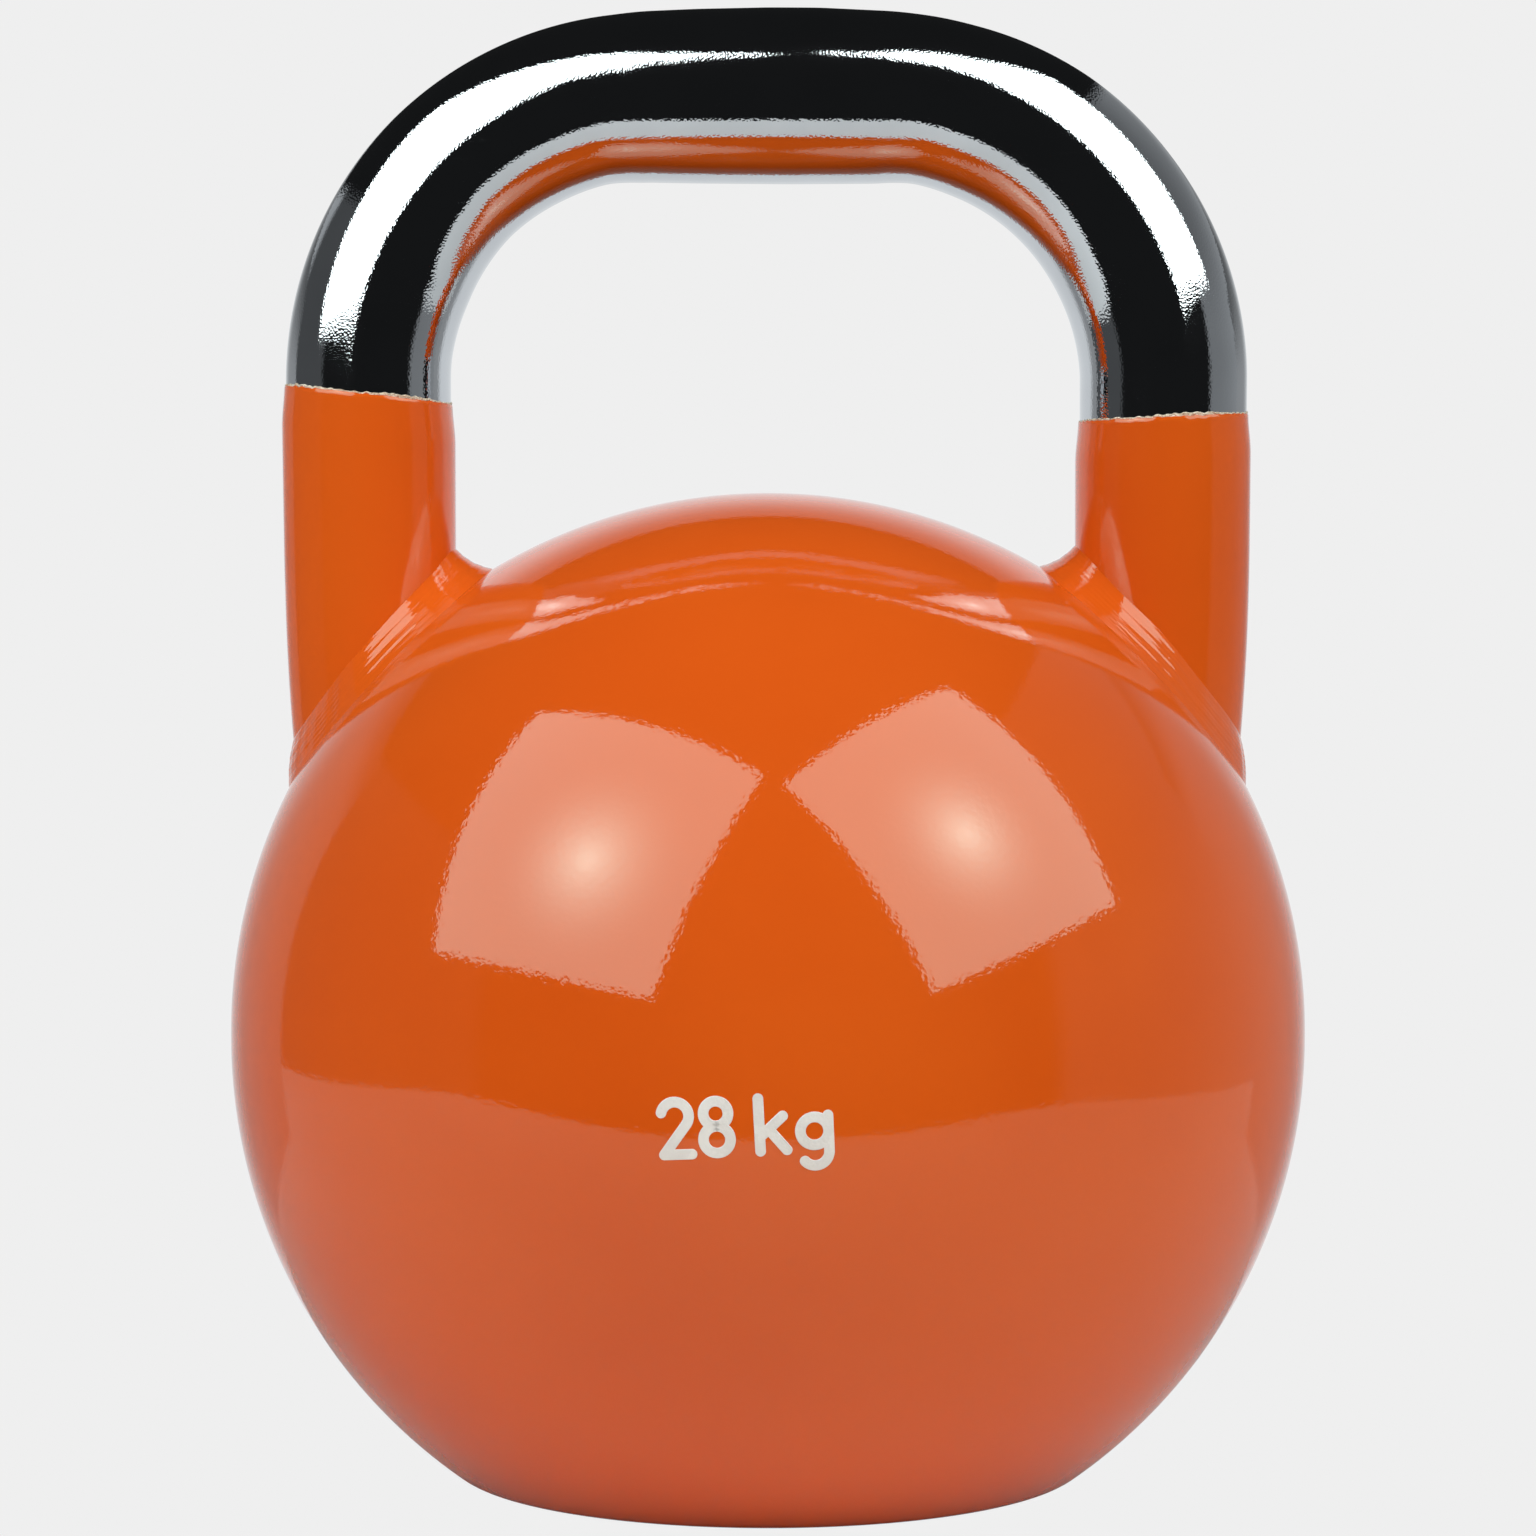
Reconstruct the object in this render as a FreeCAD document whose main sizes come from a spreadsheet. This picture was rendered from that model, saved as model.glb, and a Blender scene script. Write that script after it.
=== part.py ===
"""A 28 kg competition kettlebell in welded steel, with a hollow chromed handle.

Two pressed steel halves, welded round the middle over a backing ring, make a hollow ball with a
flat base. A bent tube is coped to the ball and fillet-welded on. A threaded boss in the base
takes the ballast, steel shot set in resin, and is closed by a plug on a seal.

Millimetres. +Z is up, +X runs along the grip, the front faces -Y, and the origin is at the
middle of the base plane. Every size is a cell of the Sizes sheet. The Worked sheet holds what
follows from them.
"""

import FreeCAD, Part
import math
import os

import Sketcher

SIZES = [
    ("ball_radius", 105, "outside radius of both pressed halves"),
    ("shell_wall", 5, "wall of the pressed halves"),
    ("base_radius", 60, "where the ball's surface meets the base plane"),
    ("base_edge_radius", 5, "rounding of the edge of the base"),
    ("floor_wall", 6, "thickness of the flat floor"),
    ("seam_gap", 1.2, "root gap between the halves, filled by the seam weld"),
    ("seam_bevel", 3, "height of the weld bevel on each half"),
    ("seam_root_face", 1.5, "unbevelled land at the inside of each half"),
    ("backing_thickness", 3.5, "backing ring, across its middle"),
    ("backing_reach", 12, "how far the backing ring goes past each half's edge"),
    ("window_height", 61.4, "from the top of the ball to the underside of the grip"),
    ("tube_radius", 16.5, "outside radius of the handle tube"),
    ("tube_wall", 4, "wall of the handle tube"),
    ("bend_radius", 56, "handle bends, on the tube's axis"),
    ("leg_inset", 11, "from the ball's side in to the outer side of a leg"),
    ("leg_straight", 32, "straight run of a leg below the bend"),
    ("toe_radius", 450, "curve by which the legs lean in below that"),
    ("trim_depth", 8, "how far a leg is drawn past its seat before it is coped"),
    ("weld_width", 6.5, "leg weld, out from the tube"),
    ("weld_rise", 4.5, "leg weld, up from the ball"),
    ("weld_bevel", 3.6, "flat face dressed across the leg weld"),
    ("coat_thickness", 0.55, "filler and paint built up on the legs"),
    ("left_mask_drop", 1, "coat's upper edge below the left bend"),
    ("right_mask_drop", 6.4, "coat's upper edge below the right bend"),
    ("boss_radius", 32, "outside of the filler boss"),
    ("boss_height", 16, "filler boss, from the base plane up"),
    ("boss_face_weld", 3, "groove weld round the boss in the base"),
    ("boss_inner_weld", 4, "fillet weld round the boss on the floor"),
    ("thread_radius", 24, "filler thread"),
    ("thread_clearance", 0.1, "radial clearance of the plug in its thread"),
    ("throat_radius", 19, "way in above the plug's seat"),
    ("seat_height", 12, "seat of the plug's seal above the base plane"),
    ("seal_thickness", 2, "flat seal between plug and seat"),
    ("plug_recess", 1, "plug's face above the base plane"),
    ("spanner_radius", 2.5, "pin-spanner holes in the plug"),
    ("spanner_depth", 4, "pin-spanner holes in the plug"),
    ("spanner_spacing", 28, "pin-spanner holes, centre to centre"),
    ("pad_radius", 42, "foam pad that keeps the charge from the boss"),
    ("pad_thickness", 6, "foam pad, as squeezed"),
]

WORKED = [
    ("lower_centre", "sqrt({ball_radius}^2 - {base_radius}^2)", "height of the lower half's centre"),
    ("upper_centre", "lower_centre + {seam_gap}", "height of the upper half's centre"),
    ("inner_radius", "{ball_radius} - {shell_wall}", "inside radius of both halves"),
    ("ball_top", "upper_centre + {ball_radius}", "top of the ball"),
    ("edge_sphere", "{ball_radius} - {base_edge_radius}", "base edge's centre from the ball's"),
    ("edge_centre", "sqrt(edge_sphere^2 - (lower_centre - {base_edge_radius})^2)", "from the axis"),
    ("edge_out", "edge_centre * {ball_radius} / edge_sphere", "where the rounding meets the ball"),
    ("edge_fall", "(lower_centre - {base_edge_radius}) * {ball_radius} / edge_sphere", "below it"),
    ("edge_up", "lower_centre - edge_fall", "height where the rounding meets the ball"),
    ("bevel_radius", "sqrt({ball_radius}^2 - {seam_bevel}^2)", "ball at the seam bevel's edge"),
    ("bevel_low", "lower_centre - {seam_bevel}", "lower edge of the seam weld"),
    ("bevel_high", "upper_centre + {seam_bevel}", "upper edge of the seam weld"),
    ("root_radius", "inner_radius + {seam_root_face}", "inner edge of the seam bevel"),
    ("floor_radius", "sqrt(inner_radius^2 - (lower_centre - {floor_wall})^2)", "edge of the floor"),
    ("ring_inside", "inner_radius - {backing_thickness}", "backing ring's inner face"),
    ("ring_edge", "sqrt(inner_radius^2 - {backing_reach}^2)", "backing ring's edges"),
    ("ring_low", "lower_centre - {backing_reach}", "backing ring's lower edge"),
    ("ring_high", "upper_centre + {backing_reach}", "backing ring's upper edge"),
    ("leg_x", "{ball_radius} - {leg_inset} - {tube_radius}", "leg's axis from the middle"),
    ("grip_axis", "ball_top + {window_height} + {tube_radius}", "height of the grip's axis"),
    ("grip_half", "leg_x - {bend_radius}", "half the grip's straight run"),
    ("bend_end", "grip_axis - {bend_radius}", "height where the bends end"),
    ("toe_start", "bend_end - {leg_straight}", "height where the legs start to lean in"),
    ("toe_centre", "leg_x - {toe_radius}", "centre of that curve, from the middle"),
    ("seat_reach", "sqrt({ball_radius}^2 - ({ball_radius} - {leg_inset})^2)", "leg's lowest seat"),
    ("toe_end", "upper_centre + seat_reach - {trim_depth}", "height where a leg's sweep ends"),
    ("toe_x", "toe_centre + sqrt({toe_radius}^2 - (toe_start - toe_end)^2)", "leg there"),
    ("tube_bore", "{tube_radius} - {tube_wall}", "inside radius of the handle tube"),
    ("coat_radius", "{tube_radius} + {coat_thickness}", "outside radius of a coated leg"),
    ("left_mask", "bend_end - {left_mask_drop}", "upper edge of the left coat"),
    ("right_mask", "bend_end - {right_mask_drop}", "upper edge of the right coat"),
    ("weld_radius", "{tube_radius} + {weld_width}", "outside radius of a leg weld"),
    ("weld_sphere", "{ball_radius} + {weld_rise}", "sphere that bounds the leg welds"),
    ("weld_start", "upper_centre + weld_sphere", "height where a weld's sweep starts"),
    ("trim_side", "weld_sphere + {weld_width} + {tube_radius}", "outside of the welds' trimming cut"),
    ("trim_top", "weld_start + {weld_width}", "top of the welds' trimming cut"),
    ("face_weld_radius", "{boss_radius} + {boss_face_weld}", "groove weld at the base plane"),
    ("inner_weld_radius", "{boss_radius} + {boss_inner_weld}", "fillet weld on the floor"),
    ("inner_weld_top", "{floor_wall} + {boss_inner_weld}", "top of that fillet weld"),
    ("seal_low", "{seat_height} - {seal_thickness}", "plug's inner face, where the seal lies"),
    ("plug_radius", "{thread_radius} - {thread_clearance}", "plug over its thread"),
    ("spanner_half", "{spanner_spacing} / 2", "spanner hole from the plug's centre"),
    ("charge_low", "{boss_height} + {pad_thickness}", "underside of the ballast"),
    ("charge_edge", "sqrt(inner_radius^2 - (lower_centre - charge_low)^2)", "ballast's rim there"),
    ("charge_top", "upper_centre + inner_radius", "top of the ballast"),
]

ORIGIN = (-1, 1)
X_AXIS = -1
UP_AXIS = -2
START, END, CENTRE = 1, 2, 3
UP = FreeCAD.Vector(0, 0, 1)


def make_sheets(doc):
    """The Sizes sheet, with the driving sizes, and the Worked sheet, with formulas of them."""
    sizes = doc.addObject("Spreadsheet::Sheet", "Sizes")
    for row, (alias, value, meaning) in enumerate(SIZES, 1):
        sizes.set(f"A{row}", meaning)
        sizes.set(f"B{row}", str(value))
        sizes.setAlias(f"B{row}", alias)
    worked = doc.addObject("Spreadsheet::Sheet", "Worked")
    cells = {alias: f"Sizes.{alias}" for alias, _, _ in SIZES}
    for row, (alias, formula, meaning) in enumerate(WORKED, 1):
        worked.set(f"A{row}", meaning)
        worked.set(f"B{row}", "=" + formula.format(**cells))
        worked.setAlias(f"B{row}", alias)
    doc.recompute()


def cell(name):
    """The expression that names a cell: a size if Sizes has it, or else a worked value."""
    sheet = "Sizes" if name in {alias for alias, _, _ in SIZES} else "Worked"
    return f"{sheet}.{name}"


def value(doc, name):
    """A cell's number. A name may start with a minus sign, and 0 is itself."""
    if name == 0:
        return 0.0
    sign = -1.0 if name.startswith("-") else 1.0
    sheet, alias = cell(name.lstrip("-")).split(".")
    return sign * float(doc.getObject(sheet).get(alias))


def new_body(doc, label):
    """An empty body whose Label names its file."""
    body = doc.addObject("PartDesign::Body", label)
    body.Label = label
    return body


def sketch_on(body, role, name, height=None):
    """A sketch on one of the body's origin planes, raised to the height that a cell holds."""
    sketch = body.newObject("Sketcher::SketchObject", name)
    plane = next(f for f in body.Origin.OriginFeatures if f.Role == role)
    sketch.AttachmentSupport = [(plane, "")]
    sketch.MapMode = "FlatFace"
    if height is not None:
        sketch.setExpression("AttachmentOffset.Base.z", cell(height))
    return sketch


def tie(sketch, kind, *args):
    """A constraint whose datum follows a cell: the last argument is the cell's name."""
    name = args[-1]
    datum = value(sketch.Document, name)
    index = sketch.addConstraint(Sketcher.Constraint(kind, *args[:-1], datum))
    minus = "-" if name.startswith("-") else ""
    sketch.setExpression(f"Constraints[{index}]", minus + cell(name.lstrip("-")))


def pin_point(sketch, edge, end, corner):
    """Ties an edge's end to a corner, (across, up), each a cell's name or 0."""
    across, up = corner
    if across == 0:
        sketch.addConstraint(Sketcher.Constraint("PointOnObject", edge, end, UP_AXIS))
    else:
        tie(sketch, "DistanceX", *ORIGIN, edge, end, across)
    if up == 0:
        sketch.addConstraint(Sketcher.Constraint("PointOnObject", edge, end, X_AXIS))
    else:
        tie(sketch, "DistanceY", *ORIGIN, edge, end, up)


def draw(sketch, corners, arcs, closed=True):
    """Draws edges from corner to corner. arcs gives (centre, radius) for the edges that are arcs."""
    doc = sketch.Document
    spots = [FreeCAD.Vector(value(doc, a), value(doc, u), 0) for a, u in corners]
    count = len(corners) if closed else len(corners) - 1
    first_ends = []
    last_ends = []
    for edge in range(count):
        here, there = spots[edge], spots[(edge + 1) % len(spots)]
        if edge not in arcs:
            sketch.addGeometry(Part.LineSegment(here, there))
            first_ends.append(START)
            last_ends.append(END)
            continue
        (across, up), radius = arcs[edge]
        centre = FreeCAD.Vector(value(doc, across), value(doc, up), 0)
        angles = [math.atan2(p.y - centre.y, p.x - centre.x) for p in (here, there)]
        turn = (angles[1] - angles[0]) % (2 * math.pi)
        anticlockwise = turn < math.pi
        circle = Part.Circle(centre, UP, value(doc, radius))
        low, high = angles if anticlockwise else reversed(angles)
        sketch.addGeometry(Part.ArcOfCircle(circle, low, high))
        first_ends.append(START if anticlockwise else END)
        last_ends.append(END if anticlockwise else START)
        tie(sketch, "Radius", edge, radius)
    for edge in range(count):
        pin_point(sketch, edge, first_ends[edge], corners[edge])
        after = (edge + 1) % count
        if closed or after:
            join = Sketcher.Constraint("Coincident", edge, last_ends[edge], after, first_ends[after])
            sketch.addConstraint(join)
    if not closed:
        pin_point(sketch, count - 1, last_ends[-1], corners[-1])
    doc.recompute()


def circles(sketch, centre, radii):
    """Circles about one centre, (across, up), each with a radius that a cell holds."""
    doc = sketch.Document
    middle = FreeCAD.Vector(value(doc, centre[0]), value(doc, centre[1]), 0)
    for radius in radii:
        index = sketch.addGeometry(Part.Circle(middle, UP, value(doc, radius)))
        pin_point(sketch, index, CENTRE, centre)
        tie(sketch, "Radius", index, radius)
    doc.recompute()


def turned(doc, label, corners, arcs=None):
    """A body turned about the vertical axis from one outline."""
    body = new_body(doc, label)
    outline = sketch_on(body, "XZ_Plane", f"{label}_outline")
    draw(outline, corners, arcs or {})
    turn = body.newObject("PartDesign::Revolution", f"{label}_turn")
    turn.Profile = outline
    turn.ReferenceAxis = (outline, ["V_Axis"])
    turn.Angle = 360
    doc.recompute()
    return body


def swept(body, profile, spine):
    """A pipe along a spine sketch."""
    pipe = body.newObject("PartDesign::AdditivePipe", f"{body.Label}_sweep")
    pipe.Profile = profile
    pipe.Spine = (spine, [])
    body.Document.recompute()
    return pipe


def cut_ball(body, radius):
    """Takes the upper half's ball, with a radius that a cell holds, out of a body."""
    ball = body.newObject("PartDesign::SubtractiveSphere", f"{body.Label}_cope")
    ball.setExpression("Radius", cell(radius))
    ball.setExpression("Placement.Base.z", cell("upper_centre"))
    body.Document.recompute()


def lower_shell(doc):
    """The lower half: a bowl with a flat floor, bored for the boss and bevelled at its rim."""
    lower = (0, "lower_centre")
    corners = [
        ("face_weld_radius", 0),
        ("edge_centre", 0),
        ("edge_out", "edge_up"),
        ("bevel_radius", "bevel_low"),
        ("root_radius", "lower_centre"),
        ("inner_radius", "lower_centre"),
        ("floor_radius", "floor_wall"),
        ("boss_radius", "floor_wall"),
        ("boss_radius", "boss_face_weld"),
    ]
    arcs = {
        1: (("edge_centre", "base_edge_radius"), "base_edge_radius"),
        2: (lower, "ball_radius"),
        5: (lower, "inner_radius"),
    }
    turned(doc, "lower_shell", corners, arcs)


def upper_shell(doc):
    """The upper half: a dome, bevelled at its rim."""
    upper = (0, "upper_centre")
    corners = [
        ("inner_radius", "upper_centre"),
        ("root_radius", "upper_centre"),
        ("bevel_radius", "bevel_high"),
        (0, "ball_top"),
        (0, "charge_top"),
    ]
    turned(doc, "upper_shell", corners, {2: (upper, "ball_radius"), 4: (upper, "inner_radius")})


def seam_weld(doc):
    """The butt weld between the halves, ground flush with both."""
    lower = (0, "lower_centre")
    upper = (0, "upper_centre")
    corners = [
        ("inner_radius", "lower_centre"),
        ("root_radius", "lower_centre"),
        ("bevel_radius", "bevel_low"),
        ("ball_radius", "lower_centre"),
        ("ball_radius", "upper_centre"),
        ("bevel_radius", "bevel_high"),
        ("root_radius", "upper_centre"),
        ("inner_radius", "upper_centre"),
    ]
    turned(doc, "seam_weld", corners, {2: (lower, "ball_radius"), 4: (upper, "ball_radius")})


def backing_ring(doc):
    """The rolled strip inside the seam, pressed to the curve of both halves."""
    lower = (0, "lower_centre")
    upper = (0, "upper_centre")
    corners = [
        ("ring_inside", "ring_low"),
        ("ring_edge", "ring_low"),
        ("inner_radius", "lower_centre"),
        ("inner_radius", "upper_centre"),
        ("ring_edge", "ring_high"),
        ("ring_inside", "ring_high"),
    ]
    arcs = {1: (lower, "inner_radius"), 3: (upper, "inner_radius")}
    turned(doc, "seam_backing_ring", corners, arcs)


def filler_boss(doc):
    """The threaded ring welded into the floor, with a seat inside, and its two welds."""
    corners = [
        ("thread_radius", 0),
        ("boss_radius", 0),
        ("boss_radius", "boss_height"),
        ("throat_radius", "boss_height"),
        ("throat_radius", "seat_height"),
        ("thread_radius", "seat_height"),
    ]
    turned(doc, "filler_boss", corners)
    groove = [("boss_radius", 0), ("face_weld_radius", 0), ("boss_radius", "boss_face_weld")]
    turned(doc, "boss_face_weld", groove)
    fillet = [
        ("boss_radius", "floor_wall"),
        ("inner_weld_radius", "floor_wall"),
        ("boss_radius", "inner_weld_top"),
    ]
    turned(doc, "boss_inner_weld", fillet)


def filler_plug(doc):
    """The plug, with two holes for a pin spanner, and the flat seal under it."""
    disc = [
        (0, "plug_recess"),
        ("plug_radius", "plug_recess"),
        ("plug_radius", "seal_low"),
        (0, "seal_low"),
    ]
    body = turned(doc, "filler_plug", disc)
    before = body.Tip.Shape.Volume
    holes = sketch_on(body, "XY_Plane", "spanner_holes", "plug_recess")
    for side in ("spanner_half", "-spanner_half"):
        circles(holes, (side, 0), ["spanner_radius"])
    pocket = body.newObject("PartDesign::Pocket", "spanner_pocket")
    pocket.Profile = holes
    pocket.Reversed = True
    pocket.setExpression("Length", cell("spanner_depth"))
    doc.recompute()
    if not pocket.Shape.Volume < before:
        raise RuntimeError("the spanner holes cut nothing")
    ring = [
        ("throat_radius", "seal_low"),
        ("plug_radius", "seal_low"),
        ("plug_radius", "seat_height"),
        ("throat_radius", "seat_height"),
    ]
    turned(doc, "plug_seal", ring)


def ballast(doc):
    """The charge of steel shot in resin, and the foam pad between it and the boss."""
    lower = (0, "lower_centre")
    upper = (0, "upper_centre")
    corners = [
        (0, "charge_low"),
        ("charge_edge", "charge_low"),
        ("ring_edge", "ring_low"),
        ("ring_inside", "ring_low"),
        ("ring_inside", "ring_high"),
        ("ring_edge", "ring_high"),
        (0, "charge_top"),
    ]
    arcs = {1: (lower, "inner_radius"), 5: (upper, "inner_radius")}
    turned(doc, "ballast_charge", corners, arcs)
    disc = [
        (0, "boss_height"),
        ("pad_radius", "boss_height"),
        ("pad_radius", "charge_low"),
        (0, "charge_low"),
    ]
    turned(doc, "charge_pad", disc)


def handle_tube(doc):
    """The bent tube: half of it swept from the middle of the grip, mirrored, then coped."""
    body = new_body(doc, "handle_tube")
    ring = sketch_on(body, "YZ_Plane", "handle_tube_ring")
    circles(ring, (0, "grip_axis"), ["tube_radius", "tube_bore"])
    spine = sketch_on(body, "XZ_Plane", "handle_tube_spine")
    corners = [
        (0, "grip_axis"),
        ("grip_half", "grip_axis"),
        ("leg_x", "bend_end"),
        ("leg_x", "toe_start"),
        ("toe_x", "toe_end"),
    ]
    arcs = {
        1: (("grip_half", "bend_end"), "bend_radius"),
        3: (("toe_centre", "toe_start"), "toe_radius"),
    }
    draw(spine, corners, arcs, closed=False)
    half = swept(body, ring, spine)
    mirror = body.newObject("PartDesign::Mirrored", "handle_tube_mirror")
    mirror.Originals = [half]
    plane = next(f for f in body.Origin.OriginFeatures if f.Role == "YZ_Plane")
    mirror.MirrorPlane = (plane, [""])
    body.Tip = mirror
    doc.recompute()
    cut_ball(body, "ball_radius")


def leg_sleeve(doc, label, side, top, radii):
    """A sleeve round one leg, from the height of a cell down into the ball. side is "" or "-"."""
    body = new_body(doc, label)
    ring = sketch_on(body, "XY_Plane", f"{label}_ring", top)
    circles(ring, (f"{side}leg_x", 0), radii)
    spine = sketch_on(body, "XZ_Plane", f"{label}_spine")
    corners = [
        (f"{side}leg_x", top),
        (f"{side}leg_x", "toe_start"),
        (f"{side}toe_x", "toe_end"),
    ]
    draw(spine, corners, {1: ((f"{side}toe_centre", "toe_start"), "toe_radius")}, closed=False)
    swept(body, ring, spine)
    return body


def leg_coat(doc, label, side, mask):
    """The built-up coat on one leg, from its masked edge down to the weld."""
    body = leg_sleeve(doc, label, side, mask, ["coat_radius", "tube_radius"])
    cut_ball(body, "weld_sphere")


def leg_weld(doc, label, side):
    """The fillet weld round one leg: a sleeve kept between two spheres, its corner dressed off."""
    body = leg_sleeve(doc, label, side, "weld_start", ["weld_radius", "tube_radius"])
    cut_ball(body, "ball_radius")
    trim = sketch_on(body, "XZ_Plane", f"{label}_trim")
    corners = [
        (0, "weld_start"),
        ("weld_sphere", "upper_centre"),
        ("trim_side", "upper_centre"),
        ("trim_side", "trim_top"),
        (0, "trim_top"),
    ]
    draw(trim, corners, {0: ((0, "upper_centre"), "weld_sphere")})
    before = body.Tip.Shape.Volume
    groove = body.newObject("PartDesign::Groove", f"{label}_face")
    groove.Profile = trim
    groove.ReferenceAxis = (trim, ["V_Axis"])
    groove.Angle = 360
    doc.recompute()
    if not groove.Shape.Volume < before:
        raise RuntimeError(f"{label} wasn't trimmed to its outer sphere")
    dress_weld(doc, body)


def dress_weld(doc, body):
    """Chamfers the weld's outer corner, the longest edge of its outer rim."""
    face = body.Tip
    centre = FreeCAD.Vector(0, 0, value(doc, "upper_centre"))
    reach = value(doc, "weld_sphere")
    rim = []
    for number, edge in enumerate(face.Shape.Edges, 1):
        spots = edge.discretize(9)
        if all(abs((spot - centre).Length - reach) < 1e-3 for spot in spots):
            rim.append((edge.Length, f"Edge{number}"))
    outer = max(length for length, _ in rim)
    dressing = body.newObject("PartDesign::Chamfer", f"{body.Label}_dressing")
    dressing.Base = (face, [name for length, name in rim if length > 0.9 * outer])
    dressing.setExpression("Size", cell("weld_bevel"))
    body.Tip = dressing
    doc.recompute()


def write_parts(doc):
    """Checks every object and each body's solid, then writes parts/LABEL.step."""
    for item in doc.Objects:
        if {"Invalid", "Error"} & set(item.State):
            raise RuntimeError(f"{item.Label} is {item.State}")
    bodies = [item for item in doc.Objects if item.TypeId == "PartDesign::Body"]
    for body in bodies:
        if body.Shape.isNull() or not body.Shape.isValid() or not body.Shape.Solids:
            raise RuntimeError(f"{body.Label} has no valid solid")
    os.makedirs("parts", exist_ok=True)
    for body in bodies:
        body.Shape.exportStep(os.path.join("parts", f"{body.Label}.step"))
        print(f"{body.Label}: {body.Shape.Volume / 1000:.2f} cm3")


def main():
    doc = FreeCAD.newDocument("kettlebell")
    make_sheets(doc)
    lower_shell(doc)
    upper_shell(doc)
    seam_weld(doc)
    backing_ring(doc)
    filler_boss(doc)
    filler_plug(doc)
    ballast(doc)
    handle_tube(doc)
    leg_coat(doc, "left_leg_coat", "-", "left_mask")
    leg_coat(doc, "right_leg_coat", "", "right_mask")
    leg_weld(doc, "left_leg_weld", "-")
    leg_weld(doc, "right_leg_weld", "")
    doc.recompute()
    write_parts(doc)


main()
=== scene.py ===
"""The looks of a 28 kg competition kettlebell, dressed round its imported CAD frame.

Every visible piece is worked out as a surface in metres, in the frame's own axes: +Z up, +X along
the grip, the front towards -Y, the origin in the middle of the base. Sizes and places come from
the boxes of the CAD nodes, so a piece lies where its node lies. What a maker would call each
sub-assembly is a class: the ball, the handle, its painted legs and their welds, the weight mark,
the filler in the base, and the studio round them.
"""

import logging
import math
from dataclasses import dataclass, field
from enum import Enum

import bpy
import numpy as np
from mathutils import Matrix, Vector


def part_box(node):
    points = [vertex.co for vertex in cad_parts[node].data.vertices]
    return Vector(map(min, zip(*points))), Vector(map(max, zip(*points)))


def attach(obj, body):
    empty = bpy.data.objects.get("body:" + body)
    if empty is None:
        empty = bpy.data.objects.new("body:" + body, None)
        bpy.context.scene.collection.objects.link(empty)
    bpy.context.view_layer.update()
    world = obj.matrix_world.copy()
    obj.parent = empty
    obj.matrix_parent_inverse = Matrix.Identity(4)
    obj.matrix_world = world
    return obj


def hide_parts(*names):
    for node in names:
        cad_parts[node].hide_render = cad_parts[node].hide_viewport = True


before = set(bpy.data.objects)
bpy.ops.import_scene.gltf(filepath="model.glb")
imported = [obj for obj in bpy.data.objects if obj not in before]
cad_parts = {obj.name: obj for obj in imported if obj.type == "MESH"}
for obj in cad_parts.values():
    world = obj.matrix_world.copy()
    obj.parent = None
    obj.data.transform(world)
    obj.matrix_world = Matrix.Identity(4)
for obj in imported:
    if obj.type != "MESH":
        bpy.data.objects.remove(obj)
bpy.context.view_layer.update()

LOG = logging.getLogger("kettlebell")
MM = 0.001
FULL_TURN = 2.0 * math.pi
SHARP_ANGLE = math.radians(32.0)


class Side(Enum):
    """The two legs of the handle, by the sign of X that each stands at."""

    LEFT = -1
    RIGHT = 1


class Slot(Enum):
    """The record's material slots, one for each finish of the new pieces."""

    PAINT = "orange_paint"
    CHROME = "chrome_plate"
    PASTE = "filler_paste"
    PRINT = "white_print"


# ---------------------------------------------------------------- meshes


def grid_faces(rows: int, columns: int, wrap_rows: bool, wrap_columns: bool) -> np.ndarray:
    """Corner numbers of the four-sided faces of a grid of points.

    Args:
        rows: Points along the first direction.
        columns: Points along the second direction.
        wrap_rows: Whether the last row joins the first.
        wrap_columns: Whether the last column joins the first.

    Returns:
        An array of shape (faces, 4).
    """
    row = np.arange(rows if wrap_rows else rows - 1)
    column = np.arange(columns if wrap_columns else columns - 1)
    here, across = np.meshgrid(row, column, indexing="ij")
    below = (here + 1) % rows
    beside = (across + 1) % columns
    corners = [here * columns + across, here * columns + beside,
               below * columns + beside, below * columns + across]
    return np.stack(corners, -1).reshape(-1, 4)


def enclosed_volume(points: np.ndarray, faces: np.ndarray) -> float:
    """Volume inside a closed surface, negative where its faces point inwards.

    The sum over the faces of a corner's dot product with the face's area vector, over three.

    Args:
        points: The surface's points.
        faces: Its faces, of four corner numbers each.

    Returns:
        The volume in cubic metres.
    """
    first, second, third, fourth = (points[faces[:, k]] for k in range(4))
    area = 0.5 * np.cross(third - first, fourth - second)
    return float(np.einsum("ij,ij->", first, area) / 3.0)


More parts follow.
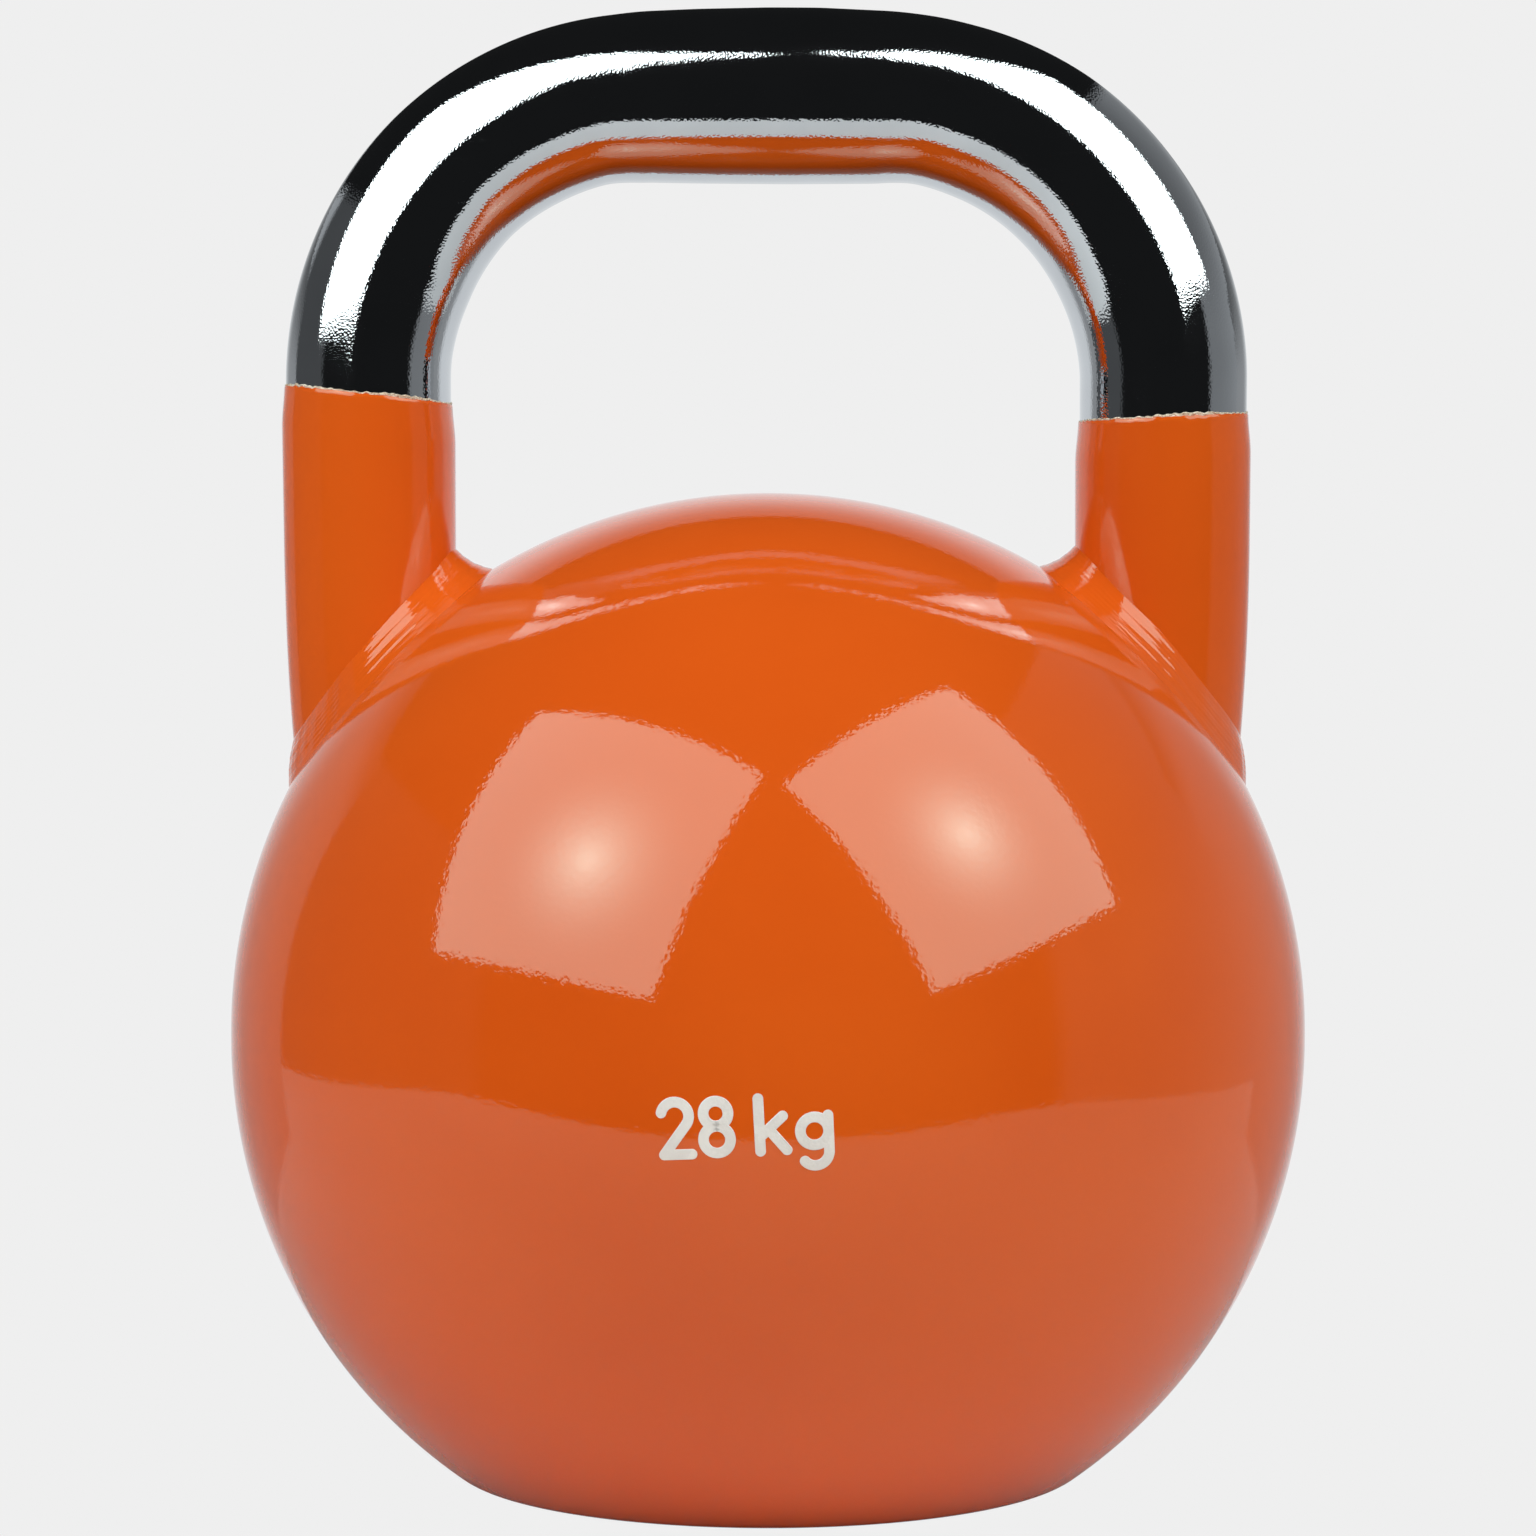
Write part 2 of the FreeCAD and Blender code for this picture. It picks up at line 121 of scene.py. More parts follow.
@dataclass(frozen=True)
class Shell:
    """A closed surface given by a grid of points whose columns run round and join up.

    Where wrap_rows is set, the last row joins the first, as round a tube's wall. Otherwise each
    end row is closed by a fan to one point at its mean.
    """

    grid: np.ndarray
    wrap_rows: bool = True

    def parts(self) -> tuple[np.ndarray, list[list[int]]]:
        """The shell as a mesh takes it.

        Returns:
            Its points, and its outward faces, of four corners and, in the fans, of three.
        """
        rows, columns, _ = self.grid.shape
        points = self.grid.reshape(-1, 3)
        faces = grid_faces(rows, columns, self.wrap_rows, True)
        fans = np.zeros((0, 3), int)
        if not self.wrap_rows:
            first, last = len(points), len(points) + 1
            here = np.arange(columns)
            beside = (here + 1) % columns
            end = (rows - 1) * columns
            points = np.concatenate([points, [self.grid[0].mean(0), self.grid[-1].mean(0)]])
            near = np.stack([np.full(columns, first), beside, here], -1)
            far = np.stack([np.full(columns, last), end + here, end + beside], -1)
            fans = np.concatenate([near, far])
        everything = np.concatenate([faces, fans[:, [0, 1, 2, 2]]])
        if enclosed_volume(points, everything) < 0.0:
            faces, fans = faces[:, ::-1], fans[:, ::-1]
        return points, faces.tolist() + fans.tolist()


def make_piece(name: str, shells: list[Shell]) -> bpy.types.Object:
    """Makes one object of closed shells, smooth, with its sharp edges marked.

    Args:
        name: The piece's name.
        shells: Its closed surfaces, in metres.

    Returns:
        The new object, at the origin.
    """
    points, faces, count = [], [], 0
    for shell in shells:
        shell_points, shell_faces = shell.parts()
        faces += [[corner + count for corner in face] for face in shell_faces]
        points.append(shell_points)
        count += len(shell_points)
    mesh = bpy.data.meshes.new(name)
    mesh.from_pydata(np.concatenate(points), [], faces)
    mesh.shade_smooth()
    mesh.set_sharp_from_angle(angle=SHARP_ANGLE)
    mesh.update()
    piece = bpy.data.objects.new(name, mesh)
    bpy.context.scene.collection.objects.link(piece)
    return piece


def revolved(profile: np.ndarray, columns: int) -> np.ndarray:
    """Turns an outline about the vertical axis.

    Args:
        profile: Points (radius, height) of shape (rows, 2).
        columns: Points round the axis.

    Returns:
        The grid (rows, columns, 3) of the points (r cos a, r sin a, z).
    """
    angle = np.linspace(0.0, FULL_TURN, columns, endpoint=False)
    radius = profile[:, 0, None]
    height = np.broadcast_to(profile[:, 1, None], (len(profile), columns))
    return np.stack([radius * np.cos(angle), radius * np.sin(angle), height], -1)


def eased(count: int, hold: float = 0.002) -> np.ndarray:
    """Evenly spaced shares from 0 to 1, with one more close to each end to keep it crisp."""
    inner = np.linspace(0.0, 1.0, count)[1:-1]
    return np.concatenate([[0.0, hold], inner, [1.0 - hold, 1.0]])


def arc(centre: tuple[float, float], radius: float, start: float, end: float,
        count: int) -> np.ndarray:
    """Points (r, z) on an arc, from one angle to another, above the horizontal, in radians."""
    angle = start + (end - start) * eased(count)
    return np.stack([centre[0] + radius * np.cos(angle), centre[1] + radius * np.sin(angle)], -1)


def ripple(angle: np.ndarray, seed: int, lowest: int, highest: int) -> np.ndarray:
    """A ragged closed wave of unit size: cosines of whole orders with drawn phases and sizes.

    Args:
        angle: Where it is read, in radians, any shape.
        seed: Which wave.
        lowest: Its lowest order, in waves to the turn.
        highest: Its highest order.

    Returns:
        Values of angle's shape, with a standard deviation near 1.
    """
    draw = np.random.default_rng(seed)
    orders = np.arange(lowest, highest + 1)
    phases = draw.uniform(0.0, FULL_TURN, len(orders))
    sizes = draw.normal(1.0, 0.4, len(orders))
    waves = sizes * np.cos(np.multiply.outer(angle, orders) + phases)
    return waves.sum(-1) / math.sqrt(0.5 * len(orders))


def unit(vectors: np.ndarray) -> np.ndarray:
    """The vectors of the last axis, each made one long."""
    return vectors / np.linalg.norm(vectors, axis=-1, keepdims=True)


def smooth_step(value: np.ndarray, low: float, high: float) -> np.ndarray:
    """0 below low and 1 above high, with a cubic between: 3t^2 - 2t^3."""
    share = np.clip((value - low) / (high - low), 0.0, 1.0)
    return share * share * (3.0 - 2.0 * share)


def add_piece(name: str, shells: list[Shell], material: bpy.types.Material, slot: Slot,
              *nodes: str) -> None:
    """Makes a painted piece, ties it to the body and hides the CAD nodes it is for.

    Args:
        name: The piece's name.
        shells: Its closed surfaces, in metres.
        material: Its material.
        slot: Not used.
        nodes: The CAD nodes it replaces.
    """
    piece = make_piece(name, shells)
    piece.data.materials.append(material)
    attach(piece, "root")
    if nodes:
        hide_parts(*nodes)
    LOG.info("%s: %d faces, for %s", piece.name, len(piece.data.polygons), ", ".join(nodes) or "itself")


# ---------------------------------------------------------------- node sheets


Wire = float | tuple[float, ...] | bpy.types.NodeSocket
Colour = tuple[float, float, float]


class NodeSheet:
    """A node tree that is filled in by short calls."""

    def __init__(self, tree: bpy.types.NodeTree) -> None:
        """Starts on a tree, emptied first."""
        tree.nodes.clear()
        self.tree = tree

    def wire(self, node: bpy.types.Node, key: str | int, value: Wire) -> None:
        """Gives one input of a node a value or, where that is a socket, a link.

        Args:
            node: The node.
            key: The input's name or number.
            value: What goes into it.
        """
        if isinstance(value, bpy.types.NodeSocket):
            self.tree.links.new(value, node.inputs[key])
        else:
            node.inputs[key].default_value = value

    def add(self, kind: str, wires: dict[str | int, Wire] | None = None,
            **settings: object) -> bpy.types.Node:
        """Adds a node.

        Args:
            kind: The node's type, without its ShaderNode prefix.
            wires: Values or output sockets by input name or number.
            settings: The node's own properties.

        Returns:
            The node.
        """
        full = kind if kind.startswith("NodeGroup") else "ShaderNode" + kind
        node = self.tree.nodes.new(full)
        for key, setting in settings.items():
            setattr(node, key, setting)
        for key, value in (wires or {}).items():
            self.wire(node, key, value)
        return node

    def math(self, operation: str, *values: Wire) -> bpy.types.NodeSocket:
        """The output of one Math node on sockets or numbers."""
        return self.add("Math", dict(enumerate(values)), operation=operation).outputs[0]

    def total(self, first: Wire, *others: Wire) -> bpy.types.NodeSocket:
        """The sum of several sockets or numbers.

        Args:
            first: The first of them.
            others: The rest, added one after another.

        Returns:
            The last sum's output.
        """
        for value in others:
            first = self.math("ADD", first, value)
        return first

    def blend(self, share: Wire, first: Wire, second: Wire) -> bpy.types.NodeSocket:
        """Mixes two colours.

        Args:
            share: How much of the second, from 0 to 1.
            first: The colour where the share is 0.
            second: The colour where it is 1.

        Returns:
            The output of the Mix node.
        """
        node = self.add("Mix", data_type="RGBA")
        for number, value in ((0, share), (6, first), (7, second)):
            self.wire(node, number, value)
        return node.outputs[2]

    def between(self, value: Wire, low: float, high: float, out_low: float = 0.0,
                out_high: float = 1.0) -> bpy.types.NodeSocket:
        """Maps a value smoothly from one range onto another and holds it at the ends.

        Args:
            value: What is mapped.
            low: The value that becomes out_low.
            high: The value that becomes out_high.
            out_low: The result at low and past it.
            out_high: The result at high and past it.

        Returns:
            The output of the Map Range node.
        """
        wires = {"Value": value, "From Min": low, "From Max": high, "To Min": out_low,
                 "To Max": out_high}
        return self.add("MapRange", wires, interpolation_type="SMOOTHSTEP").outputs[0]

    def varied(self, base: float, tone: Wire, spread: float) -> bpy.types.NodeSocket:
        """The base plus the tone times the spread."""
        return self.math("ADD", self.math("MULTIPLY", tone, spread), base)

    def place(self) -> bpy.types.NodeSocket:
        """The Object coordinates of the surface, in metres."""
        return self.add("TexCoord").outputs["Object"]


class MaterialSheet(NodeSheet):
    """The node tree of one new material."""

    def __init__(self, name: str) -> None:
        """Makes the material and starts on its tree."""
        self.material = bpy.data.materials.new(name)
        self.material.use_nodes = True
        super().__init__(self.material.node_tree)

    def bumped(self, height: Wire, strength: float, distance: float) -> bpy.types.NodeSocket:
        """The normal of a skin with this height, as a Bump node gives it."""
        return self.add("Bump", {"Height": height, "Strength": strength, "Distance": distance}).outputs[0]

    def surface(self, shader: bpy.types.NodeSocket) -> bpy.types.Material:
        """Makes a shader the surface of the material, and gives the material."""
        self.add("OutputMaterial", {0: shader})
        return self.material

    def skin(self, inputs: dict[str | int, Wire]) -> bpy.types.Material:
        """Makes a Principled BSDF with these inputs the surface, and gives the material."""
        return self.surface(self.add("BsdfPrincipled", inputs).outputs[0])


def shade(colour: Colour) -> tuple[float, float, float, float]:
    """A colour with full opacity, for a socket."""
    return (*colour, 1.0)


class Effects:
    """Shader node groups that several finishes share, each built once."""

    def __init__(self) -> None:
        """Builds every group."""
        self.peel = self._peel()
        self.handling = self._handling()
        self.cloud = self._cloud()

    @staticmethod
    def _group(name: str, numbers: dict[str, float], result: str) -> tuple[NodeSheet, dict[str, Wire]]:
        """Starts a group that takes some numbers and gives one.

        Args:
            name: The group's name.
            numbers: The default of each input by its name.
            result: The name of the output.

        Returns:
            The group's sheet, and its input sockets by name.
        """
        tree = bpy.data.node_groups.new(name, "ShaderNodeTree")
        for label, value in numbers.items():
            socket = tree.interface.new_socket(name=label, in_out="INPUT", socket_type="NodeSocketFloat")
            socket.default_value = value
        tree.interface.new_socket(name=result, in_out="OUTPUT", socket_type="NodeSocketFloat")
        sheet = NodeSheet(tree)
        given = sheet.add("NodeGroupInput").outputs
        return sheet, {label: given[label] for label in numbers}

    @staticmethod
    def _close(sheet: NodeSheet, value: Wire) -> bpy.types.NodeTree:
        """Wires a group's one output, and gives the group."""
        sheet.add("NodeGroupOutput", {0: value})
        return sheet.tree

    def _peel(self) -> bpy.types.NodeTree:
        """The fine skin of a sprayed or plated coat: soft cells, with a long slow wander.

        Returns:
            The group, with a Height.
        """
        sheet, given = self._group("coat_peel", {"Cells": 500.0, "Wander": 0.5}, "Height")
        place = sheet.place()
        fine = sheet.add("TexNoise", {"Vector": place, "Scale": given["Cells"], "Detail": 1.0})
        slow = sheet.add("TexNoise", {"Vector": place, "Scale": 38.0, "Detail": 2.0})
        height = sheet.math("MULTIPLY_ADD", slow.outputs[0], given["Wander"], fine.outputs[0])
        return self._close(sheet, height)

    def _handling(self) -> bpy.types.NodeTree:
        """Where a surface has been rubbed: thin scratches inside drifting patches.

        Returns:
            The group, with a Mask.
        """
        sheet, given = self._group("handling_marks", {"Amount": 0.2, "Grain": 90.0}, "Mask")
        place = sheet.place()
        stretched = sheet.add("Mapping", {"Vector": place, "Scale": (1.0, 1.0, 7.0)})
        patch = sheet.add("TexNoise", {"Vector": place, "Scale": 24.0, "Detail": 3.0})
        scratch = sheet.add("TexNoise", {"Vector": stretched.outputs[0], "Scale": given["Grain"],
                                         "Detail": 6.0, "Roughness": 0.7})
        thin = sheet.between(scratch.outputs[0], 0.58, 0.72)
        where = sheet.between(patch.outputs[0], 0.45, 0.7)
        rubbed = sheet.math("MULTIPLY", thin, where)
        return self._close(sheet, sheet.math("MULTIPLY", rubbed, given["Amount"]))

    def _cloud(self) -> bpy.types.NodeTree:
        """A soft uneven tone from 0 to 1, as in thicker and thinner paint or dull metal.

        Returns:
            The group, with a Tone.
        """
        sheet, given = self._group("uneven_tone", {"Scale": 12.0}, "Tone")
        noise = sheet.add("TexNoise", {"Vector": sheet.place(), "Scale": given["Scale"], "Detail": 4.0})
        return self._close(sheet, sheet.between(noise.outputs[0], 0.3, 0.7))

    @staticmethod
    def put(sheet: NodeSheet, tree: bpy.types.NodeTree, **values: float) -> bpy.types.NodeSocket:
        """Puts a group into a material.

        Args:
            sheet: The material's sheet.
            tree: The group.
            values: The group's inputs, by their names in small letters.

        Returns:
            The group's one output.
        """
        node = sheet.add("Group", node_tree=tree)
        for label, value in values.items():
            node.inputs[label.capitalize()].default_value = value
        return node.outputs[0]


# ---------------------------------------------------------------- finishes


@dataclass(frozen=True)
class Finish:
    """What the finishes share: two close colours, an uneven gloss, rubbed patches and a relief.

    A cloud's tone takes the colour to the clouded one and adds the spread to the roughness. This
    one's own relief is a fine grain, whose cells are counted to the metre.
    """

    effects: Effects
    name: str
    colour: Colour
    clouded: Colour
    metal: float = 0.0
    rough: float = 0.5
    spread: float = 0.15
    tone_scale: float = 30.0
    rub: float = 0.0
    rub_grain: float = 90.0
    grain: float = 400.0
    wander: float = 0.6
    strength: float = 0.1
    distance: float = 4.0 * MM

    def relief(self, sheet: MaterialSheet) -> bpy.types.NodeSocket:
        """The height of the skin."""
        return self.effects.put(sheet, self.effects.peel, cells=self.grain, wander=self.wander)

    def extras(self) -> dict[str | int, Wire]:
        """What this finish alone sets on the Principled BSDF."""
        return {}

    def build(self) -> bpy.types.Material:
        """Makes the material.

        Returns:
            The material.
        """
        sheet = MaterialSheet(self.name)
        tone = self.effects.put(sheet, self.effects.cloud, scale=self.tone_scale)
        rough = sheet.varied(self.rough, tone, self.spread)
        if self.rub > 0.0:
            marks = self.effects.put(sheet, self.effects.handling, amount=self.rub, grain=self.rub_grain)
            rough = sheet.total(rough, marks)
        return sheet.skin({
            "Base Color": sheet.blend(tone, shade(self.colour), shade(self.clouded)),
            "Metallic": self.metal,
            "Roughness": rough,
            "Normal": sheet.bumped(self.relief(sheet), self.strength, self.distance),
            **self.extras()})


@dataclass(frozen=True)
class Paint(Finish):
    """Sprayed and baked gloss enamel, with a fine peel and slightly uneven depth."""

    name: str = "orange_enamel"
    colour: Colour = (0.640, 0.083, 0.0060)
    clouded: Colour = (0.690, 0.100, 0.0080)
    rough: float = 0.045
    spread: float = 0.012
    tone_scale: float = 9.0
    rub: float = 0.06
    rub_grain: float = 70.0
    grain: float = 1000.0
    wander: float = 1.0
    strength: float = 1.0
    distance: float = 0.016 * MM
    ior: float = 1.52
    shine: Colour = (0.62, 1.0, 0.88)

    def extras(self) -> dict[str | int, Wire]:
        """The enamel's index and the tint of its shine."""
        return {"IOR": self.ior, "Specular Tint": shade(self.shine)}


@dataclass(frozen=True)
class Chrome(Finish):
    """Bright plating on a drawn tube: dark and clear, with pinpoint pits and a faint wander."""

    name: str = "bright_chrome"
    colour: Colour = (0.60, 0.62, 0.645)
    clouded: Colour = (0.558, 0.5766, 0.59985)
    metal: float = 1.0
    rough: float = 0.035
    spread: float = 0.02
    tone_scale: float = 60.0
    rub: float = 0.10
    rub_grain: float = 160.0
    grain: float = 300.0
    wander: float = 0.8
    strength: float = 0.022
    distance: float = 2.0 * MM
    pits: float = 2400.0
    wander_share: float = 0.09

    def relief(self, sheet: MaterialSheet) -> bpy.types.NodeSocket:
        """The height of the pits, plus a share of the soft grain."""
        pits = sheet.add("TexNoise", {"Vector": sheet.place(), "Scale": self.pits, "Detail": 0.0})
        return sheet.math("MULTIPLY_ADD", super().relief(sheet), self.wander_share, pits.outputs[0])


@dataclass(frozen=True)
class Turned(Finish):
    """Zinc-plated steel faced on a lathe: fine rings about the vertical axis."""

    name: str = "turned_zinc"
    colour: Colour = (0.42, 0.43, 0.44)
    clouded: Colour = (0.62, 0.62, 0.60)
    metal: float = 1.0
    rough: float = 0.26
    spread: float = 0.12
    tone_scale: float = 45.0
    rub: float = 0.35
    rub_grain: float = 120.0
    strength: float = 0.08
    distance: float = 0.4 * MM
    rings: float = 2600.0

    def relief(self, sheet: MaterialSheet) -> bpy.types.NodeSocket:
        """The height of the rings: the sine of the distance from the axis.

        Args:
            sheet: The material's sheet.

        Returns:
            The sine of one turn for each ring's width.
        """
        place = sheet.add("SeparateXYZ", {0: sheet.place()})
        squares = [sheet.math("MULTIPLY", place.outputs[k], place.outputs[k]) for k in (0, 1)]
        radius = sheet.math("SQRT", sheet.total(*squares))
        return sheet.math("SINE", sheet.math("MULTIPLY", radius, self.rings * FULL_TURN))


@dataclass(frozen=True)
class ShotInResin:
    """Small steel shot packed in a dark resin: round cells that stand out of a dull ground."""

    effects: Effects
    shot: Colour = (0.30, 0.29, 0.28)
    resin: Colour = (0.028, 0.026, 0.024)
    shot_to_metre: float = 420.0
    scatter: float = 0.7
    tone_scale: float = 80.0
    rough: float = 0.3
    spread: float = 0.25
    strength: float = 0.8
    distance: float = 1.0 * MM

    def build(self) -> bpy.types.Material:
        """Makes the material: a Voronoi distance gives each shot its dome, colour and metal.

        Returns:
            The material.
        """
        sheet = MaterialSheet("shot_in_resin")
        cells = sheet.add("TexVoronoi", {"Vector": sheet.place(), "Scale": self.shot_to_metre,
                                         "Randomness": self.scatter}).outputs["Distance"]
        dome = sheet.between(cells, 0.45, 0.05)
        ball = sheet.between(cells, 0.46, 0.38)
        tone = self.effects.put(sheet, self.effects.cloud, scale=self.tone_scale)
        return sheet.skin({
            "Base Color": sheet.blend(ball, shade(self.resin), shade(self.shot)),
            "Metallic": ball,
            "Roughness": sheet.varied(self.rough, tone, self.spread),
            "Normal": sheet.bumped(dome, self.strength, self.distance)})


class Finishes:
    """Every material of the object, built once."""

    def __init__(self) -> None:
        """Builds them all."""
        effects = Effects()
        self.enamel = Paint(effects).build()
        self.leg_enamel = Paint(effects, "leg_enamel", rough=0.09, grain=350.0, distance=0.02 * MM).build()
        self.chrome = Chrome(effects).build()
        self.steel = Finish(effects, "mill_steel", (0.16, 0.15, 0.15), (0.33, 0.32, 0.31), metal=1.0,
                            rough=0.38, grain=700.0).build()
        self.paste = Finish(effects, "filler_paste", (0.60, 0.47, 0.34), (0.80, 0.72, 0.60), rough=0.7,
                            grain=1800.0, strength=0.5, tone_scale=400.0).build()
        self.print = Finish(effects, "printed_mark", (0.70, 0.66, 0.67), (0.78, 0.75, 0.76), rough=0.22,
                            spread=0.1, grain=1500.0, strength=0.06, tone_scale=120.0).build()
        self.rubber = Finish(effects, "seal_rubber", (0.012, 0.012, 0.013), (0.03, 0.03, 0.031),
                             rough=0.6, grain=900.0).build()
        self.foam = Finish(effects, "grey_foam", (0.045, 0.045, 0.05), (0.09, 0.09, 0.095), rough=0.85,
                           grain=1100.0, strength=0.9, tone_scale=200.0).build()
        self.shot = ShotInResin(effects).build()
        self.zinc = Turned(effects).build()


# ---------------------------------------------------------------- the object


@dataclass
class Ball:
    """The welded ball: two pressed halves and the ground seam between them."""

    finishes: Finishes
    bevel: float = 3.0 * MM
    root_face: float = 1.5 * MM
    edge_radius: float = 8.0 * MM
    columns: int = 360
    radius: float = field(init=False)
    inner: float = field(init=False)
    lower_centre: float = field(init=False)
    upper_centre: float = field(init=False)
    base_radius: float = field(init=False)

    def __post_init__(self) -> None:
        """Reads the ball's sizes from the CAD boxes."""
        self.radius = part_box("seam_weld")[1].x
        self.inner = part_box("seam_backing_ring")[1].x
        self.lower_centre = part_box("lower_shell")[1].z
        self.upper_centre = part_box("upper_shell")[0].z

    def build(self) -> None:
        """Makes the three pieces."""
        self._upper()
        self._lower()
        self._seam()

    def _upper(self) -> None:
        """The dome: outer arc from the pole to the bevel, the bevel, and the inner arc back."""
        centre = (0.0, self.upper_centre)
        bevel_angle = math.asin(self.bevel / self.radius)
        top = math.radians(89.8)
        outer = arc(centre, self.radius, top, bevel_angle, 150)
        root = np.array([[self.inner + self.root_face, self.upper_centre]])
        inner = arc(centre, self.inner, 0.0, top, 60)
        grid = revolved(np.concatenate([outer, root, inner]), self.columns)
        shell = Shell(grid, wrap_rows=False)
        add_piece("upper_half", [shell], self.finishes.enamel, Slot.PAINT, "upper_shell")

    def _lower(self) -> None:
        """The bowl: base ring, rounded edge, outer arc, bevel, inner arc and floor."""
        centre = (0.0, self.lower_centre)
        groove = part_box("boss_face_weld")
        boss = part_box("filler_boss")[1].x
        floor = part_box("boss_inner_weld")[0].z
        reach = self.radius - self.edge_radius
        edge_centre = math.sqrt(reach**2 - (self.lower_centre - self.edge_radius) ** 2)
        meet = -math.acos(edge_centre / reach)
        self.base_radius = edge_centre
        bevel_angle = -math.asin(self.bevel / self.radius)
        floor_angle = -math.asin((self.lower_centre - floor) / self.inner)
        flat_radii = groove[1].x + (edge_centre - groove[1].x) * eased(12)[:-1]
        flat = np.stack([flat_radii, np.zeros_like(flat_radii)], -1)
        edge = arc((edge_centre, self.edge_radius), self.edge_radius, -math.pi / 2, meet, 10)
        outer = arc(centre, self.radius, meet, bevel_angle, 90)[1:]
        root = np.array([[self.inner + self.root_face, self.lower_centre]])
        inner = arc(centre, self.inner, 0.0, floor_angle, 50)
        bore = np.array([[boss, floor], [boss, groove[1].z]])
        profile = np.concatenate([flat, edge, outer, root, inner, bore])
        shell = Shell(revolved(profile, self.columns))
        add_piece("lower_half", [shell], self.finishes.enamel, Slot.PAINT, "lower_shell")

    def _seam(self) -> None:
        """The ring of weld that fills the bevels, flush with both halves outside."""
        lower, upper = (0.0, self.lower_centre), (0.0, self.upper_centre)
        bevel_angle = math.asin(self.bevel / self.radius)
        below = arc(lower, self.radius, -bevel_angle, 0.0, 5)
        above = arc(upper, self.radius, 0.0, bevel_angle, 5)
        root = self.inner + self.root_face
        inside = np.array([[root, self.upper_centre], [self.inner, self.upper_centre],
                           [self.inner, self.lower_centre], [root, self.lower_centre]])
        grid = revolved(np.concatenate([below, above, inside]), self.columns)
        add_piece("middle_seam", [Shell(grid)], self.finishes.enamel, Slot.PAINT, "seam_weld")


